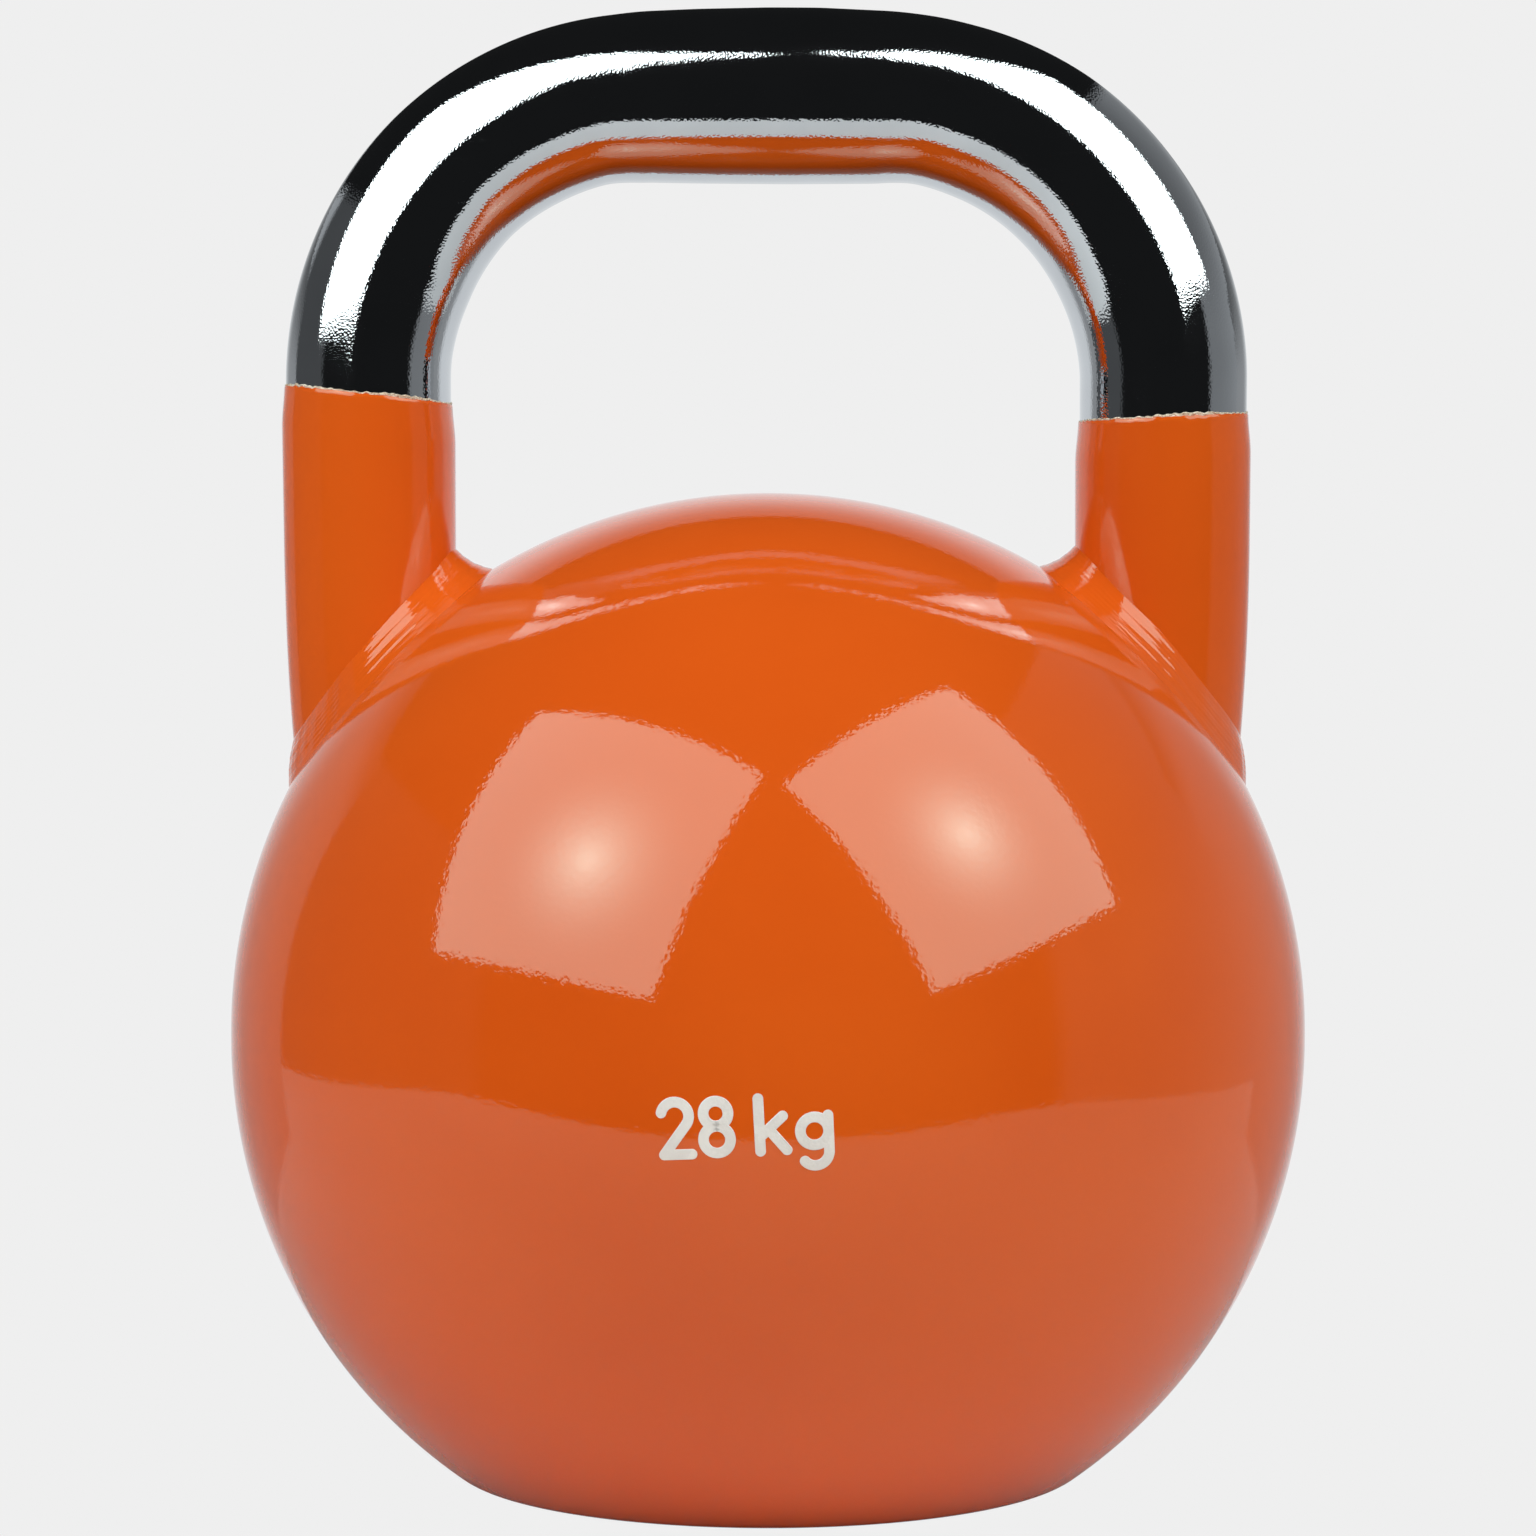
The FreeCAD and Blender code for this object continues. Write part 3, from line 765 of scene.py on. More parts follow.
@dataclass
class Handle:
    """The bent, chromed tube, along one line: half a grip, a bend, a straight and a lean in.

    The pressed bends and the crowned grip stand off a plain tube by small amounts, which are
    given outside and inside the bend at chosen lengths from the middle of the grip, in mm.
    """

    finishes: Finishes
    ball: Ball
    bend_radius: float = 56.0 * MM
    leg_straight: float = 32.0 * MM
    toe_radius: float = 450.0 * MM
    wall: float = 4.0 * MM
    rows: int = 440
    columns: int = 128
    outer_shape: tuple[tuple[float, float], ...] = (
        (-150, -0.35), (-112, 0.08), (-66, -0.3), (-46, -0.75), (-28, -1.1), (-14, -0.5), (0, -0.2),
        (10, -0.25), (27, -1.05), (36, -1.2), (56, -0.75), (74, -0.8), (106, -0.5), (150, -0.75))
    inner_shape: tuple[tuple[float, float], ...] = (
        (-150, -0.9), (-104, -0.9), (-88, -0.4), (-66, -0.55), (-48, 0.0), (-35, 0.15), (-26, 0.95),
        (-16, 1.15), (4, 1.33), (21, 1.22), (31, 0.65), (42, 0.85), (84, 0.65), (108, 0.12), (150, 0.1))
    softening: float = 3.0 * MM
    longest_leg: float = 0.11
    halvings: int = 40
    tube: float = field(init=False)
    leg_x: float = field(init=False)
    grip_z: float = field(init=False)

    def __post_init__(self) -> None:
        """Reads the tube's radius, legs and height from its CAD box."""
        low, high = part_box("handle_tube")
        self.tube = high.y
        self.leg_x = high.x - self.tube
        self.grip_z = high.z - self.tube

    @property
    def grip_half(self) -> float:
        """Half the length of the straight grip, on the tube's axis."""
        return self.leg_x - self.bend_radius

    @property
    def bend_end(self) -> float:
        """Length along the axis, from the middle of the grip, to the end of a bend."""
        return self.grip_half + self.bend_radius * math.pi / 2

    def axis(self, along: np.ndarray) -> tuple[np.ndarray, np.ndarray, np.ndarray]:
        """The tube's axis, by signed length from the middle of the grip.

        A straight run, a quarter circle, a straight run down and a wide arc that leans in.

        Args:
            along: Lengths in metres, positive towards +X.

        Returns:
            The axis's x and z, and the angle that its outward side makes with up, towards +X.
        """
        run = np.abs(along)
        turn = np.clip((run - self.grip_half) / self.bend_radius, 0.0, math.pi / 2)
        down = np.clip(run - self.bend_end, 0.0, self.leg_straight)
        lean = np.maximum(run - self.bend_end - self.leg_straight, 0.0) / self.toe_radius
        x = np.minimum(run, self.grip_half) + self.bend_radius * np.sin(turn)
        x = x - self.toe_radius * (1.0 - np.cos(lean))
        z = self.grip_z - self.bend_radius * (1.0 - np.cos(turn)) - down
        z = z - self.toe_radius * np.sin(lean)
        side = np.where(along < 0.0, -1.0, 1.0)
        return side * x, z, side * (turn + lean)

    def _stand_off(self, shape: tuple[tuple[float, float], ...], along: np.ndarray) -> np.ndarray:
        """Reads a list of (length, stand-off) by straight lines, averaged over a short window.

        Args:
            shape: The list, in millimetres.
            along: Where it is read, in metres.

        Returns:
            The stand-offs in metres, weighted by the square of a cosine across the window.
        """
        length, height = MM * np.array(shape).T
        shifts = np.linspace(-1.0, 1.0, 9)
        weights = np.cos(0.5 * math.pi * shifts) ** 2
        steps = np.multiply.outer(shifts * self.softening, np.ones_like(along)) + along
        return np.tensordot(weights / weights.sum(), np.interp(steps, length, height), 1)

    def radius(self, along: np.ndarray, around: np.ndarray) -> np.ndarray:
        """Radius of the outer skin: the tube's, plus the stand-offs shared out by the cosine.

        Args:
            along: Lengths along the axis.
            around: Angles from the outward side, which broadcast with the lengths.

        Returns:
            The radius at each.
        """
        share = 0.5 * (1.0 + np.cos(around))
        outer = self._stand_off(self.outer_shape, along)
        inner = self._stand_off(self.inner_shape, along)
        return self.tube + share * outer + (1.0 - share) * inner

    def skin(self, along: np.ndarray, around: np.ndarray, extra: np.ndarray | float) -> np.ndarray:
        """Points on or over the tube's outer skin.

        The axis's point, plus the radius times (cos b outward + sin b towards the back).

        Args:
            along: Lengths along the axis.
            around: Angles b from the outward side.
            extra: Distances over the skin. All three broadcast together.

        Returns:
            Points with a last axis of 3.
        """
        x, z, tilt = self.axis(along)
        radius = self.radius(along, around) + extra
        outward = radius * np.cos(around)
        depth = radius * np.sin(around) + 0.0 * x
        return np.stack([x + outward * np.sin(tilt), depth, z + outward * np.cos(tilt)], -1)

    def reach(self, side: Side, around: np.ndarray, extra: float, sphere: float) -> np.ndarray:
        """Length along the axis at which a line down a leg meets a sphere about the ball.

        Halves the interval below the bend again and again, for every angle at once.

        Args:
            side: Which leg.
            around: Angles of the lines, from the outward side.
            extra: Distance of the lines over the tube's skin.
            sphere: Radius of the sphere about the upper centre of the ball.

        Returns:
            A positive length for each angle.
        """
        centre = np.array([0.0, 0.0, self.ball.upper_centre])
        near = np.full(np.shape(around), self.bend_end)
        far = near + self.longest_leg
        for _ in range(self.halvings):
            middle = 0.5 * (near + far)
            points = self.skin(side.value * middle, around, extra)
            outside = np.linalg.norm(points - centre, axis=-1) > sphere
            near = np.where(outside, middle, near)
            far = np.where(outside, far, middle)
        return near

    def build(self) -> None:
        """Makes the tube: its outer skin and its bore, joined at the two coped ends."""
        around = np.linspace(0.0, FULL_TURN, self.columns, endpoint=False)
        share = np.linspace(-1.0, 1.0, self.rows)[:, None]
        sheets = []
        for extra in (0.0, -self.wall):
            left, right = (self.reach(side, around, extra, self.ball.radius) for side in Side)
            along = np.where(share < 0.0, share * left, share * right)
            sheets.append(self.skin(along, around[None, :], extra))
        shell = Shell(np.concatenate([sheets[0], sheets[1][::-1]]))
        add_piece("chromed_tube", [shell], self.finishes.chrome, Slot.CHROME, "handle_tube")


@dataclass
class Leg:
    """What is built up on one end of the tube: weld, filler and paint."""

    finishes: Finishes
    handle: Handle
    side: Side
    edge_tilt: float
    seed: int
    lip: float = 0.3 * MM
    lip_round: float = 0.5 * MM
    build_up: float = 0.85 * MM
    ramp: float = 8.0 * MM
    rag: float = 0.06 * MM
    filler_width: float = 0.50 * MM
    toe_up_leg: float = 6.6 * MM
    toe_out_ball: float = 6.8 * MM
    window_up: float = 2.4 * MM
    window_out: float = 3.0 * MM
    toe_sink: float = 0.08 * MM
    coat_foot: float = 1.5 * MM
    root_over_tube: float = 0.2 * MM
    root_sink: float = 0.8 * MM
    bow_swing: float = 0.55
    bow_hollow: float = 0.15
    groove_depth: float = 0.040 * MM
    groove_count: float = 3.5
    fine_groove_depth: float = 0.014 * MM
    fine_groove_count: float = 9.0
    lump: float = 0.02 * MM
    rows: int = 150
    columns: int = 300

    @property
    def name(self) -> str:
        """The word for this side in the names of nodes and pieces."""
        return self.side.name.lower()

    def build(self) -> None:
        """Makes the coat, the line of filler at its edge and the weld of this leg."""
        self._coat()
        self._filler_line()
        self._weld()

    def _around(self) -> np.ndarray:
        """Angles round the leg, from its outward side."""
        return np.linspace(0.0, FULL_TURN, self.columns, endpoint=False)

    def _edge(self, around: np.ndarray) -> np.ndarray:
        """The masked edge: a tilted cut with a ragged line.

        Args:
            around: Angles round the leg.

        Returns:
            The length along the axis at each: the mask's level, plus the tilt times
            (1 - cos b), plus the rag.
        """
        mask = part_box(f"{self.name}_leg_coat")[1].z
        top = self.handle.axis(np.array(self.handle.bend_end))[1]
        level = self.handle.bend_end + (top - mask)
        rag = self.rag * ripple(around, self.seed, 9, 60)
        return level + self.edge_tilt * (1.0 - np.cos(around)) * self.handle.tube + rag

    def _coat(self) -> None:
        """The painted sleeve, from its ragged edge down into the weld.

        Its thickness is full over the front and back, and at the sides it swells from the lip to
        full along a short ramp.
        """
        around = self._around()
        top = self._edge(around)
        sphere = self.handle.ball.radius + self.coat_foot
        foot = self.handle.reach(self.side, around, self.build_up, sphere)
        share = eased(self.rows, 0.001)[:, None]
        along = top + (foot - top) * share
        ramp = smooth_step(along - top, 0.0, self.ramp)
        swell = 1.0 - (1.0 - ramp) * np.cos(around) ** 2
        thick = self.lip + (self.build_up - self.lip) * swell
        thick = thick - 0.5 * self.lip * smooth_step(top + self.lip_round - along, 0.0, self.lip_round)
        outer = self.handle.skin(self.side.value * along, around, thick)
        inside = self.handle.skin(self.side.value * along, around, 0.0)
        shell = Shell(np.concatenate([outer, inside[::-1]]))
        add_piece(f"{self.name}_leg_paint", [shell], self.finishes.leg_enamel, Slot.PAINT,
                  f"{self.name}_leg_coat")

    def _filler_line(self) -> None:
        """The bare line of filler that shows over the edge of the paint, wide and thin by turns."""
        around = self._around()
        edge = self._edge(around)
        wide = self.filler_width + 0.20 * MM * ripple(around, self.seed + 5, 1, 5)
        wide = np.maximum(wide + 0.05 * MM * ripple(around, self.seed + 6, 30, 90), 0.04 * MM)
        across = np.linspace(0.0, FULL_TURN, 12, endpoint=False)[:, None]
        along = edge + 0.1 * MM - 0.5 * wide * (1.0 + np.cos(across))
        over = 0.10 * MM + 0.11 * MM * np.sin(across)
        shell = Shell(self.handle.skin(self.side.value * along, around, over))
        add_piece(f"{self.name}_filler_line", [shell], self.finishes.paste, Slot.PASTE)

    def _relief(self, around: np.ndarray, across: np.ndarray) -> np.ndarray:
        """How far the weld's face stands out of the straight lines between its toes.

        A bow, which is full outside and hollow towards the window, and two runs of fine grooves
        along the weld with lumps. All die out at the toes, with the sine of the way across.

        Args:
            around: Angles round the leg.
            across: Shares of the way from the ball's toe to the leg's, in a column.

        Returns:
            The distances in metres.
        """
        arch = np.sin(math.pi * across)
        bow = (self.bow_swing * np.cos(around) - self.bow_hollow) * MM * arch
        drift = 0.35 * ripple(around, self.seed + 4, 1, 4)
        fade = smooth_step(ripple(around, self.seed + 8, 1, 6), -1.2, 1.0)
        phase = FULL_TURN * across
        grooves = self.groove_depth * fade * np.sin(self.groove_count * phase + drift)
        fine = self.fine_groove_depth * np.sin(self.fine_groove_count * phase - 2.0 * drift)
        lumps = self.lump * ripple(around, self.seed + 7, 12, 40)
        return bow + (grooves + fine + lumps) * np.sqrt(arch)

    def _weld(self) -> None:
        """The fillet round the leg: a face between its two toes, and its buried root.

        The face lies on straight lines between the toes, pushed out square to them by its relief.
        """
        around = self._around()
        handle, ball = self.handle, self.handle.ball
        centre = np.array([0.0, 0.0, ball.upper_centre])
        root_at = handle.reach(self.side, around, self.build_up, ball.radius)
        window = (0.5 - 0.5 * np.cos(around)) ** 4
        up_leg = self.toe_up_leg + self.window_up * window
        up_leg = up_leg + 0.16 * MM * ripple(around, self.seed + 2, 2, 8)
        out_ball = self.toe_out_ball + self.window_out * window
        out_ball = out_ball + 0.20 * MM * ripple(around, self.seed + 3, 2, 8)
        root = handle.skin(self.side.value * root_at, around, self.root_over_tube)
        leg_toe = handle.skin(self.side.value * (root_at - up_leg), around, self.build_up - self.toe_sink)
        away = handle.skin(self.side.value * root_at, around, self.build_up + out_ball) - centre
        ball_toe = centre + unit(away) * (ball.radius - self.toe_sink)
        root = centre + (root - centre) * (1.0 - self.root_sink / ball.radius)
        share = eased(60, 0.004)[:, None, None]
        chord = ball_toe + (leg_toe - ball_toe) * share
        beside = np.roll(chord, -1, axis=1) - np.roll(chord, 1, axis=1)
        out = unit(np.cross(beside, (leg_toe - ball_toe)[None]))
        out = out * np.sign(np.einsum("ijk,ijk->ij", out, chord - root[None]))[..., None]
        face = chord + out * self._relief(around, share[..., 0])[..., None]
        sink = np.linspace(0.0, 1.0, 5)[1:, None, None]
        down_leg = leg_toe + (root - leg_toe) * sink
        back_out = root + (ball_toe - root) * sink[:-1]
        shell = Shell(np.concatenate([face, down_leg, back_out]))
        add_piece(f"{self.name}_leg_bead", [shell], self.finishes.enamel, Slot.PAINT,
                  f"{self.name}_leg_weld")


def line(start: tuple[float, float], end: tuple[float, float]) -> np.ndarray:
    """Points on a straight stroke, in millimetres."""
    share = np.linspace(0.0, 1.0, 24)[:, None]
    return np.array(start) + (np.array(end) - np.array(start)) * share


def bend(centre: tuple[float, float], radius: float, start: float, end: float) -> np.ndarray:
    """Points on a curved stroke, in millimetres, between two angles in degrees."""
    angle = np.radians(np.linspace(start, end, 72))
    return np.array(centre) + radius * np.stack([np.cos(angle), np.sin(angle)], -1)


@dataclass
class WeightMark:
    """The weight in kilograms, in plain single-stroke characters printed on the front."""

    finishes: Finishes
    ball: Ball
    stroke: float = 1.9
    film: float = 0.07
    film_step: float = 0.004
    middle: tuple[float, float] = (-4.1, -4.9)
    slope: float = math.radians(3.0)
    width: float = 29.5
    height: float = 9.4

    def strokes(self) -> list[np.ndarray]:
        """The middle lines of the strokes.

        Returns:
            Points of each stroke, in millimetres from the foot of the first one.
        """
        two = [bend((2.4, 6.9), 2.5, 165.0, -38.0), line((4.37, 5.36), (0.1, 0.0)),
               line((0.1, 0.0), (5.1, 0.0))]
        eight = [bend((9.7, 7.1), 2.2, -90.0, 270.0), bend((9.7, 2.43), 2.4, 90.0, 450.0)]
        stem = [line((17.3, 0.0), (17.3, 9.4)), line((21.5, 6.1), (17.3, 2.5)),
                line((18.9, 3.9), (22.0, 0.0))]
        bowl = [bend((27.0, 3.1), 2.5, 0.0, 360.0), line((29.5, 5.8), (29.5, -0.6)),
                bend((27.0, -0.6), 2.5, 0.0, -140.0)]
        return two + eight + stem + bowl

    def build(self) -> None:
        """Makes the mark as thin raised ribbons, each a little over the last where they cross."""
        shells = [Shell(self._ribbon(path, self.film + self.film_step * order), wrap_rows=False)
                  for order, path in enumerate(self.strokes())]
        add_piece("weight_mark", shells, self.finishes.print, Slot.PRINT)

    def _ribbon(self, path: np.ndarray, film: float) -> np.ndarray:
        """A ribbon along a stroke, with round ends, laid on the ball.

        Beyond the stroke's ends its half width is that of a circle, sqrt(1 - t^2). Across, it
        runs from under the ball's skin up a small bevel to the film's height and back.

        Args:
            path: Points on the stroke's middle line, in millimetres.
            film: Height of its top over the ball, in millimetres.

        Returns:
            The ribbon's grid, in metres.
        """
        half = 0.5 * self.stroke
        run = unit(np.gradient(path, axis=0))
        cap = np.sin(np.linspace(0.02, 0.5, 12) * math.pi)[:, None]
        before = path[0] - run[0] * half * np.sqrt(1.0 - cap**2)
        after = path[-1] + run[-1] * half * np.sqrt(1.0 - cap[::-1] ** 2)
        middle = np.concatenate([before, path[1:-1], after])
        ends = [np.repeat(run[:1], len(cap), 0), run[1:-1], np.repeat(run[-1:], len(cap), 0)]
        way = np.concatenate(ends)
        wide = half * np.concatenate([cap[:, 0], np.ones(len(path) - 2), cap[::-1, 0]])
        aside = np.stack([-way[:, 1], way[:, 0]], -1)
        across = np.array([-1.0, -1.0, -0.93, -0.4, 0.4, 0.93, 1.0, 1.0])
        level = np.array([-0.1, 0.4 * film, film, film, film, film, 0.4 * film, -0.1])
        flat = middle[:, None] + (wide[:, None] * across)[..., None] * aside[:, None]
        return self._on_ball(flat, np.broadcast_to(level, flat.shape[:2]))

    def _on_ball(self, flat: np.ndarray, level: np.ndarray) -> np.ndarray:
        """Wraps millimetres of a flat sheet onto the front of the ball.

        The sheet is turned by the slope about its own middle, and a point's distances across and
        up become angles at the ball's centre.

        Args:
            flat: Points on the sheet, from the foot of the first character.
            level: Heights over the ball's skin, in millimetres.

        Returns:
            Points in metres.
        """
        from_middle = flat - 0.5 * np.array([self.width, self.height])
        cosine, sine = math.cos(self.slope), math.sin(self.slope)
        across = cosine * from_middle[..., 0] - sine * from_middle[..., 1] + self.middle[0]
        up = sine * from_middle[..., 0] + cosine * from_middle[..., 1] + self.middle[1]
        distance = self.ball.radius + MM * level
        turn = across * MM / self.ball.radius
        rise = up * MM / self.ball.radius
        x = distance * np.sin(turn) * np.cos(rise)
        y = -distance * np.cos(turn) * np.cos(rise)
        z = distance * np.sin(rise) + self.ball.lower_centre
        return np.stack([x, y, z], -1)


@dataclass
class InnerPieces:
    """The CAD nodes that keep their own shape: the filler in the base and what is inside."""

    finishes: Finishes

    def dress(self) -> None:
        """Gives each kept node its material."""
        finish = {
            "filler_boss": self.finishes.enamel,
            "boss_face_weld": self.finishes.enamel,
            "boss_inner_weld": self.finishes.steel,
            "seam_backing_ring": self.finishes.steel,
            "filler_plug": self.finishes.zinc,
            "plug_seal": self.finishes.rubber,
            "ballast_charge": self.finishes.shot,
            "charge_pad": self.finishes.foam,
        }
        for node, material in finish.items():
            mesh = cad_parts[node].data
            mesh.materials.clear()
            mesh.materials.append(material)
            LOG.info("%s: %s", node, material.name)


# ---------------------------------------------------------------- the studio


def stage_piece(name: str, points: np.ndarray | list[Vector], faces: list,
                material: bpy.types.Material) -> None:
    """Makes a piece of the studio, kept out of the model, that the camera doesn't see.

    Args:
        name: Its name.
        points: Its corners, in metres.
        faces: Its faces, as corner numbers.
        material: What it is made of.
    """
    mesh = bpy.data.meshes.new(name)
    mesh.from_pydata(points, [], faces)
    mesh.materials.append(material)
    piece = bpy.data.objects.new(name, mesh)
    bpy.context.scene.collection.objects.link(piece)
    piece.visible_camera = False


@dataclass(frozen=True)
class Softbox:
    """A square lamp: its middle, the two directions of its sides, its size and its light.

    The bulb behind its cloth is off the middle by bulb_lean, in shares of the width and height.
    """

    name: str
    centre: tuple[float, float, float]
    across: tuple[float, float, float]
    rise: tuple[float, float, float]
    width: float
    height: float
    bulb_lean: tuple[float, float]
    dimmer: float
    radiance: float = 3.75
    bulb_radiance: float = 12.0
    bulb_reach: float = 0.42
    bulb_power: float = 3.0
    tint: Colour = (0.96, 1.04, 1.02)

    def _point(self, aside: float, above: float) -> Vector:
        """A point of the panel.

        Args:
            aside: Its share of the width from the middle.
            above: Its share of the height from the middle.

        Returns:
            The middle, plus the shares of the two sides, with the rise made square to the other.
        """
        across = Vector(self.across).normalized()
        rise = Vector(self.rise)
        rise = (rise - rise.dot(across) * across).normalized()
        return Vector(self.centre) + across * (aside * self.width) + rise * (above * self.height)

    def build(self) -> None:
        """Makes the panel, brighter round its bulb and unseen by the camera."""
        corners = [self._point(a, b) for a, b in ((-0.5, -0.5), (0.5, -0.5), (0.5, 0.5), (-0.5, 0.5))]
        stage_piece(self.name, corners, [(0, 1, 2, 3)], self._material())

    def _material(self) -> bpy.types.Material:
        """A lamp brightest at its bulb, and dimmer to everything but glossy reflections.

        The glow falls from the bulb's to the cloth's with (1 - distance / reach) to a power.

        Returns:
            The material.
        """
        sheet = MaterialSheet(self.name)
        bulb = tuple(self._point(*self.bulb_lean))
        away = sheet.add("VectorMath", {0: sheet.place(), 1: bulb}, operation="DISTANCE")
        near = sheet.add("MapRange", {"Value": away.outputs["Value"], "To Min": 1.0, "To Max": 0.0,
                                      "From Max": self.bulb_reach * self.width})
        glow = sheet.math("MULTIPLY_ADD", sheet.math("POWER", near.outputs[0], self.bulb_power),
                          self.bulb_radiance - self.radiance, self.radiance)
        shine = sheet.add("LightPath").outputs["Is Glossy Ray"]
        glow = sheet.math("MULTIPLY", glow, sheet.between(shine, 0.0, 1.0, self.dimmer, 1.0))
        light = sheet.add("Emission", {"Color": shade(self.tint), "Strength": glow})
        return sheet.surface(light.outputs[0])


@dataclass(frozen=True)
class SideWall:
    """A grey side wall, which only glossy reflections see.

    Each step of its glow is the azimuth where it starts, the one where it is full, and its
    strength. The wall ends upwards where the height is a fixed share, slope, of the distance
    aside, and high up its glow falls to a share, high_share.
    """

    steps: tuple[tuple[float, float, float], ...]
    slope: float
    high_share: float = 1.0

    def glow(self, sheet: NodeSheet, azimuth: Wire, aside: Wire, high: Wire) -> bpy.types.NodeSocket:
        """The wall's glow in a direction.

        Args:
            sheet: The world's sheet.
            azimuth: The direction's angle from the front, in degrees.
            aside: Its part along X.
            high: Its part along Z.

        Returns:
            The sum of the steps, times the fade with height, times the cut at the top edge.
        """
        steps = [sheet.between(azimuth, start, full, 0.0, strength)
                 for start, full, strength in self.steps]
        under_top = sheet.math("SUBTRACT", sheet.math("MULTIPLY", aside, self.slope), high)
        fade = sheet.between(high, 0.12, 0.5, 1.0, self.high_share)
        glow = sheet.math("MULTIPLY", sheet.total(*steps), fade)
        return sheet.math("MULTIPLY", glow, sheet.between(under_top, -0.01, 0.02))


@dataclass
class Studio:
    """A pale table and board in a dark room, with a pale backdrop, two softboxes and the camera."""

    ball: Ball
    pale: float = 0.863
    dark: float = 0.0125
    room_tint: Colour = (0.93, 0.97, 1.0)
    left_wall: SideWall = SideWall(((-60.0, -66.0, 0.08), (-122.0, -134.0, 0.36)), -0.625)
    right_wall: SideWall = SideWall(((60.0, 67.0, 0.25), (70.0, 155.0, 0.18)), 1.31, 0.6)
    floor_rise: tuple[float, float] = (-42.0, -60.0)
    floor_glow: float = 0.5
    behind_glow: float = 0.5
    fill_glow: float = 0.02
    table_middle: tuple[float, float] = (-0.06, 0.15)
    table_half: tuple[float, float] = (0.64, 0.535)
    table_roundness: float = 5.0
    table_gap: float = 2.0 * MM
    table_rings: int = 5
    table_columns: int = 96
    table_glossy: Colour = (0.72, 0.70, 0.71)
    table_matt: Colour = (0.86, 0.73, 0.56)
    board_half: float = 0.34
    board_top: float = 0.287
    board_gap: float = 15.0 * MM
    board_tint: Colour = (0.95, 0.98, 1.0)
    eye_distance: float = 1.0
    eye_above_ball: float = 0.1074
    eye_pitch: float = math.radians(-3.22)
    sensor: float = 36.0
    focal_share: float = 3.326171875

    def build(self) -> None:
        """Sets up everything round the object."""
        bpy.context.scene.view_settings.view_transform = "Standard"
        self._room()
        self._table()
        self._backboard()
        Softbox("left_softbox", centre=(-0.640, -0.514, 0.765), across=(0.757, -0.643, -0.096),
                rise=(0.423, 0.407, 0.810), width=1.07, height=0.996, bulb_lean=(0.11, -0.07),
                dimmer=0.68).build()
        Softbox("right_softbox", centre=(1.298, -0.850, 1.597), across=(0.620, 0.750, 0.230),
                rise=(-0.533, 0.200, 0.817), width=2.00, height=2.02, bulb_lean=(-0.07, -0.07),
                dimmer=0.82).build()
        self._camera()

    def _room(self) -> None:
        """Pale to the camera, a dark room with grey side walls to gloss, and a soft fill to the rest.

        The azimuth away from the front is atan2(x, -y) and the rise asin(z), both in degrees.
        """
        world = bpy.data.worlds.new("studio")
        bpy.context.scene.world = world
        world.use_nodes = True
        sheet = NodeSheet(world.node_tree)
        way = sheet.add("SeparateXYZ", {0: sheet.add("TexCoord").outputs["Generated"]})
        aside, ahead, high = way.outputs
        front = sheet.math("MULTIPLY", ahead, -1.0)
        azimuth = sheet.math("DEGREES", sheet.math("ARCTAN2", aside, front))
        rise = sheet.math("DEGREES", sheet.math("ARCSINE", high))
        left, right = (wall.glow(sheet, azimuth, aside, high)
                       for wall in (self.left_wall, self.right_wall))
        below = sheet.between(rise, *self.floor_rise, 0.0, self.floor_glow)
        walls = sheet.total(left, right, below, self.dark)
        behind = sheet.math("MULTIPLY", sheet.between(ahead, -0.2, 0.8, 0.0, self.behind_glow),
                            sheet.between(high, 0.72, 0.5))
        fill = sheet.total(behind, below, self.fill_glow)
        path = sheet.add("LightPath").outputs
        glossy = path["Is Glossy Ray"]
        strength = sheet.total(sheet.math("MULTIPLY", walls, glossy),
                               sheet.math("MULTIPLY", fill, sheet.math("SUBTRACT", 1.0, glossy)))
        room = sheet.add("Background", {"Color": shade(self.room_tint), "Strength": strength})
        seen = sheet.add("Background", {"Color": shade((1.0, 1.0, 1.0)), "Strength": self.pale})
        both = sheet.add("MixShader", {0: path["Is Camera Ray"], 1: room.outputs[0], 2: seen.outputs[0]})
        sheet.add("OutputWorld", {0: both.outputs[0]})

    def _table(self) -> None:
        """A flat white sheet with rounded corners, open under the base.

        Its outline is |x/a|^n + |y/b|^n = 1, with the roundness for n, and rings of points lead in
        from it to the opening, which lets light reach the underside. The camera doesn't see the
        sheet, so that the base can be looked at from below.
        """
        angle = np.linspace(0.0, FULL_TURN, self.table_columns, endpoint=False)
        cosine, sine = np.cos(angle), np.sin(angle)
        half_x, half_y = self.table_half
        power = self.table_roundness
        size = (np.abs(cosine / half_x) ** power + np.abs(sine / half_y) ** power) ** (-1.0 / power)
        outline = np.stack([size * cosine, size * sine], -1) + np.array(self.table_middle)
        opening = (self.ball.base_radius + self.table_gap) * np.stack([cosine, sine], -1)
        share = np.linspace(0.0, 1.0, self.table_rings)[:, None, None]
        flat = opening + (outline - opening) * share
        grid = np.concatenate([flat, np.zeros_like(flat[..., :1])], -1)
        faces = grid_faces(self.table_rings, self.table_columns, False, True)[:, ::-1]
        stage_piece("table", grid.reshape(-1, 3), faces.tolist(), self._table_finish())

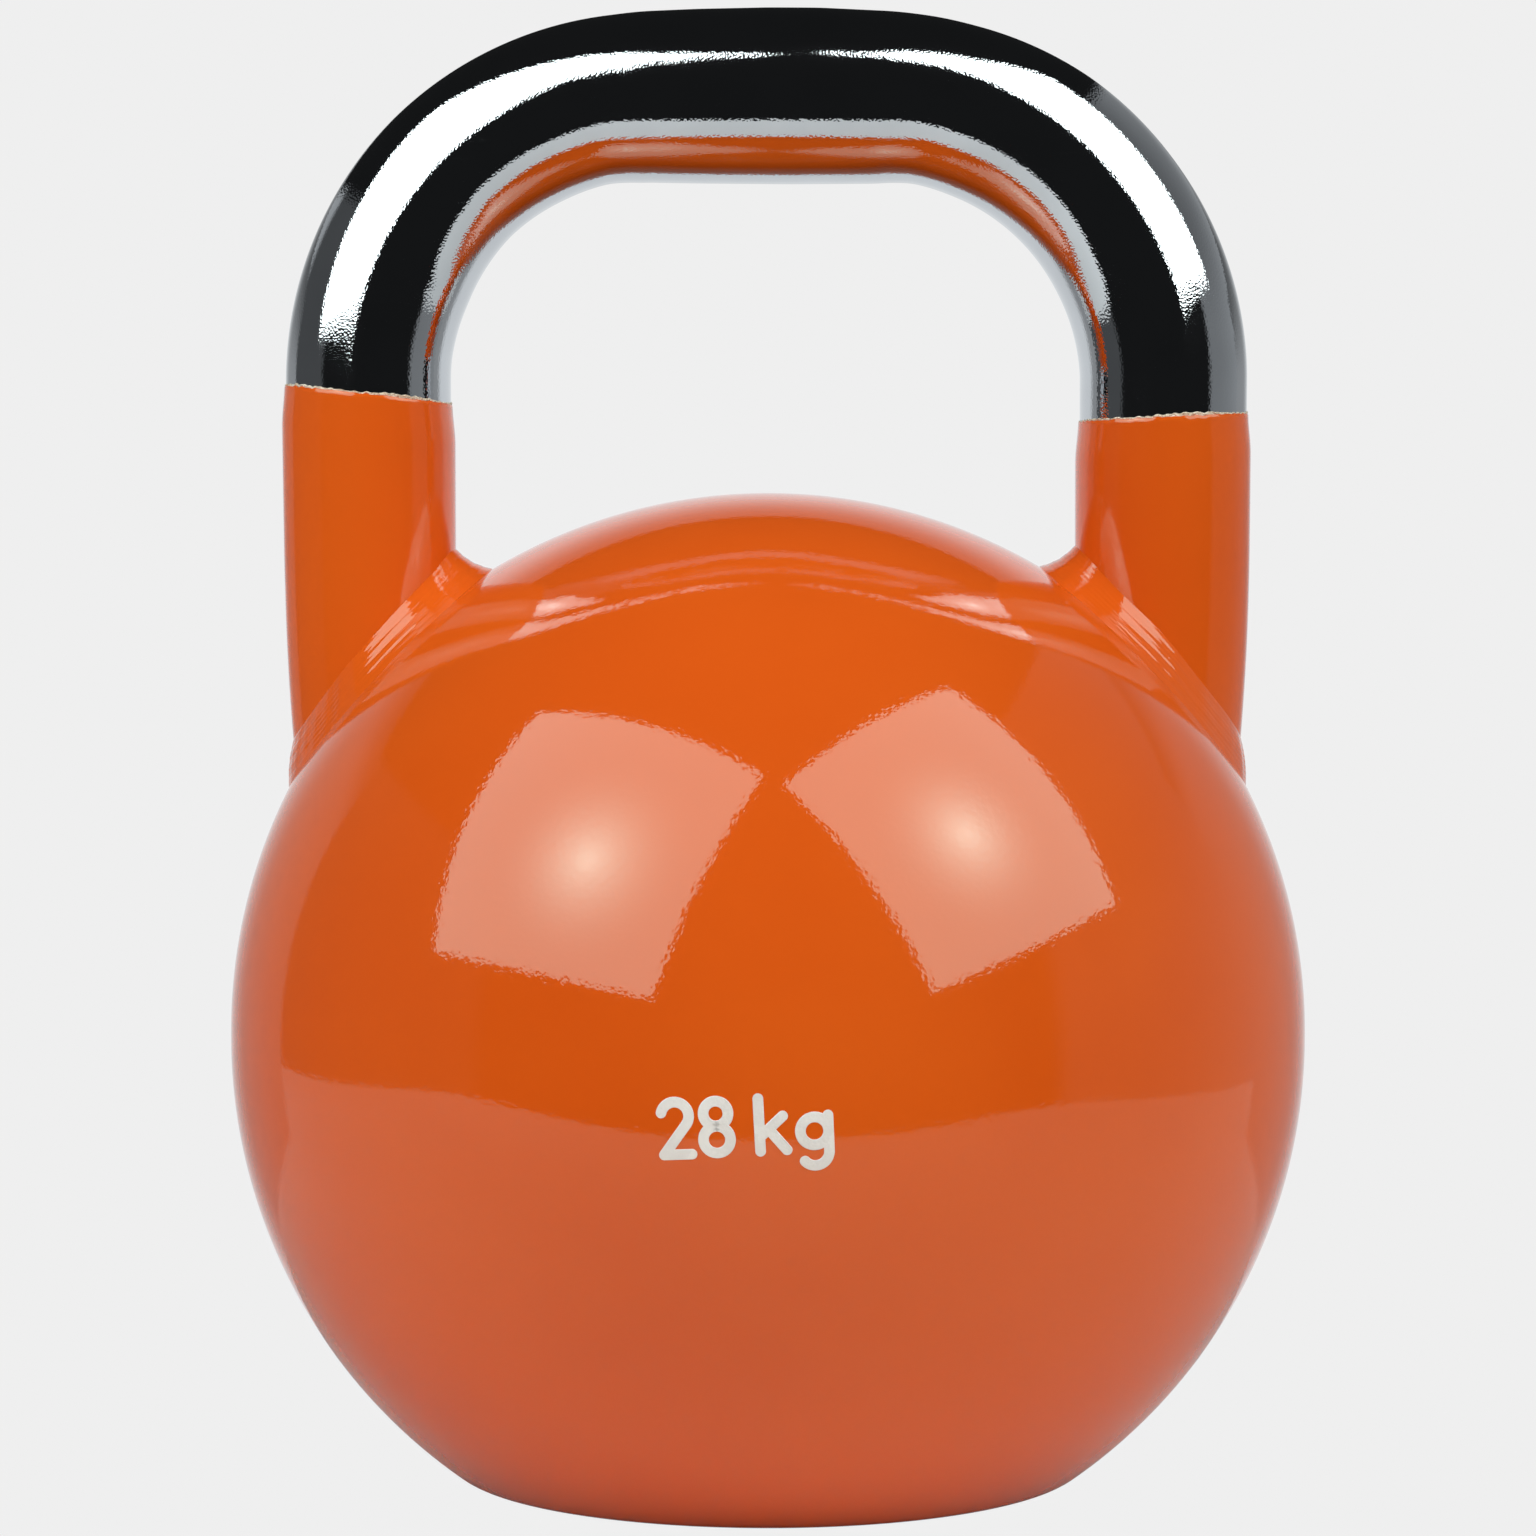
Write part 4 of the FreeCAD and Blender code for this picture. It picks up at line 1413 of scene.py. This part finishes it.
    def _table_finish(self) -> bpy.types.Material:
        """Matt white to glossy reflections, and warmer and paler for the light it passes on.

        Returns:
            The material.
        """
        sheet = MaterialSheet("pale_table")
        shine = sheet.add("LightPath").outputs["Is Glossy Ray"]
        colour = sheet.blend(shine, shade(self.table_matt), shade(self.table_glossy))
        return sheet.surface(sheet.add("BsdfDiffuse", {"Color": colour}).outputs[0])

    def _backboard(self) -> None:
        """A low white board close behind the object, which only glossy reflections see."""
        half, top, back = self.board_half, self.board_top, self.ball.radius + self.board_gap
        corners = [Vector(corner) for corner in
                   ((-half, back, 0.0), (half, back, 0.0), (half, back, top), (-half, back, top))]
        stage_piece("backboard", corners, [(0, 1, 2, 3)], self._board_finish())

    def _board_finish(self) -> bpy.types.Material:
        """A glow that is brightest in the middle, and fades to the ends and towards the top edge.

        Returns:
            The material.
        """
        sheet = MaterialSheet("backboard")
        place = sheet.add("SeparateXYZ", {0: sheet.place()}).outputs
        along = sheet.between(sheet.math("ABSOLUTE", place[0]), 0.10, 0.20, 0.88, 0.38)
        glow = sheet.math("MULTIPLY", along, sheet.between(place[2], 0.22, self.board_top, 1.0, 0.35))
        light = sheet.add("Emission", {"Color": shade(self.board_tint), "Strength": glow})
        clear = sheet.add("BsdfTransparent")
        seen = sheet.add("LightPath").outputs["Is Glossy Ray"]
        both = sheet.add("MixShader", {0: seen, 1: clear.outputs[0], 2: light.outputs[0]})
        return sheet.surface(both.outputs[0])

    def _camera(self) -> None:
        """The camera, in front, a little above the middle of the ball and tipped down to it."""
        data = bpy.data.cameras.new("camera")
        data.sensor_width = self.sensor
        data.lens = self.focal_share * self.sensor
        data.clip_start = 0.01
        data.clip_end = 20.0
        camera = bpy.data.objects.new("camera", data)
        bpy.context.scene.collection.objects.link(camera)
        camera.location = (0.0, -self.eye_distance, self.ball.upper_centre + self.eye_above_ball)
        camera.rotation_euler = (math.pi / 2 + self.eye_pitch, 0.0, 0.0)
        bpy.context.scene.camera = camera


def main() -> None:
    """Builds the object and the studio, in order."""
    logging.basicConfig(level=logging.INFO, format="%(name)s: %(message)s")
    finishes = Finishes()
    ball = Ball(finishes)
    ball.build()
    handle = Handle(finishes, ball)
    handle.build()
    Leg(finishes, handle, Side.LEFT, edge_tilt=0.11, seed=11).build()
    Leg(finishes, handle, Side.RIGHT, edge_tilt=0.05, seed=37).build()
    WeightMark(finishes, ball).build()
    InnerPieces(finishes).dress()
    Studio(ball).build()


if __name__ == "__main__":
    main()
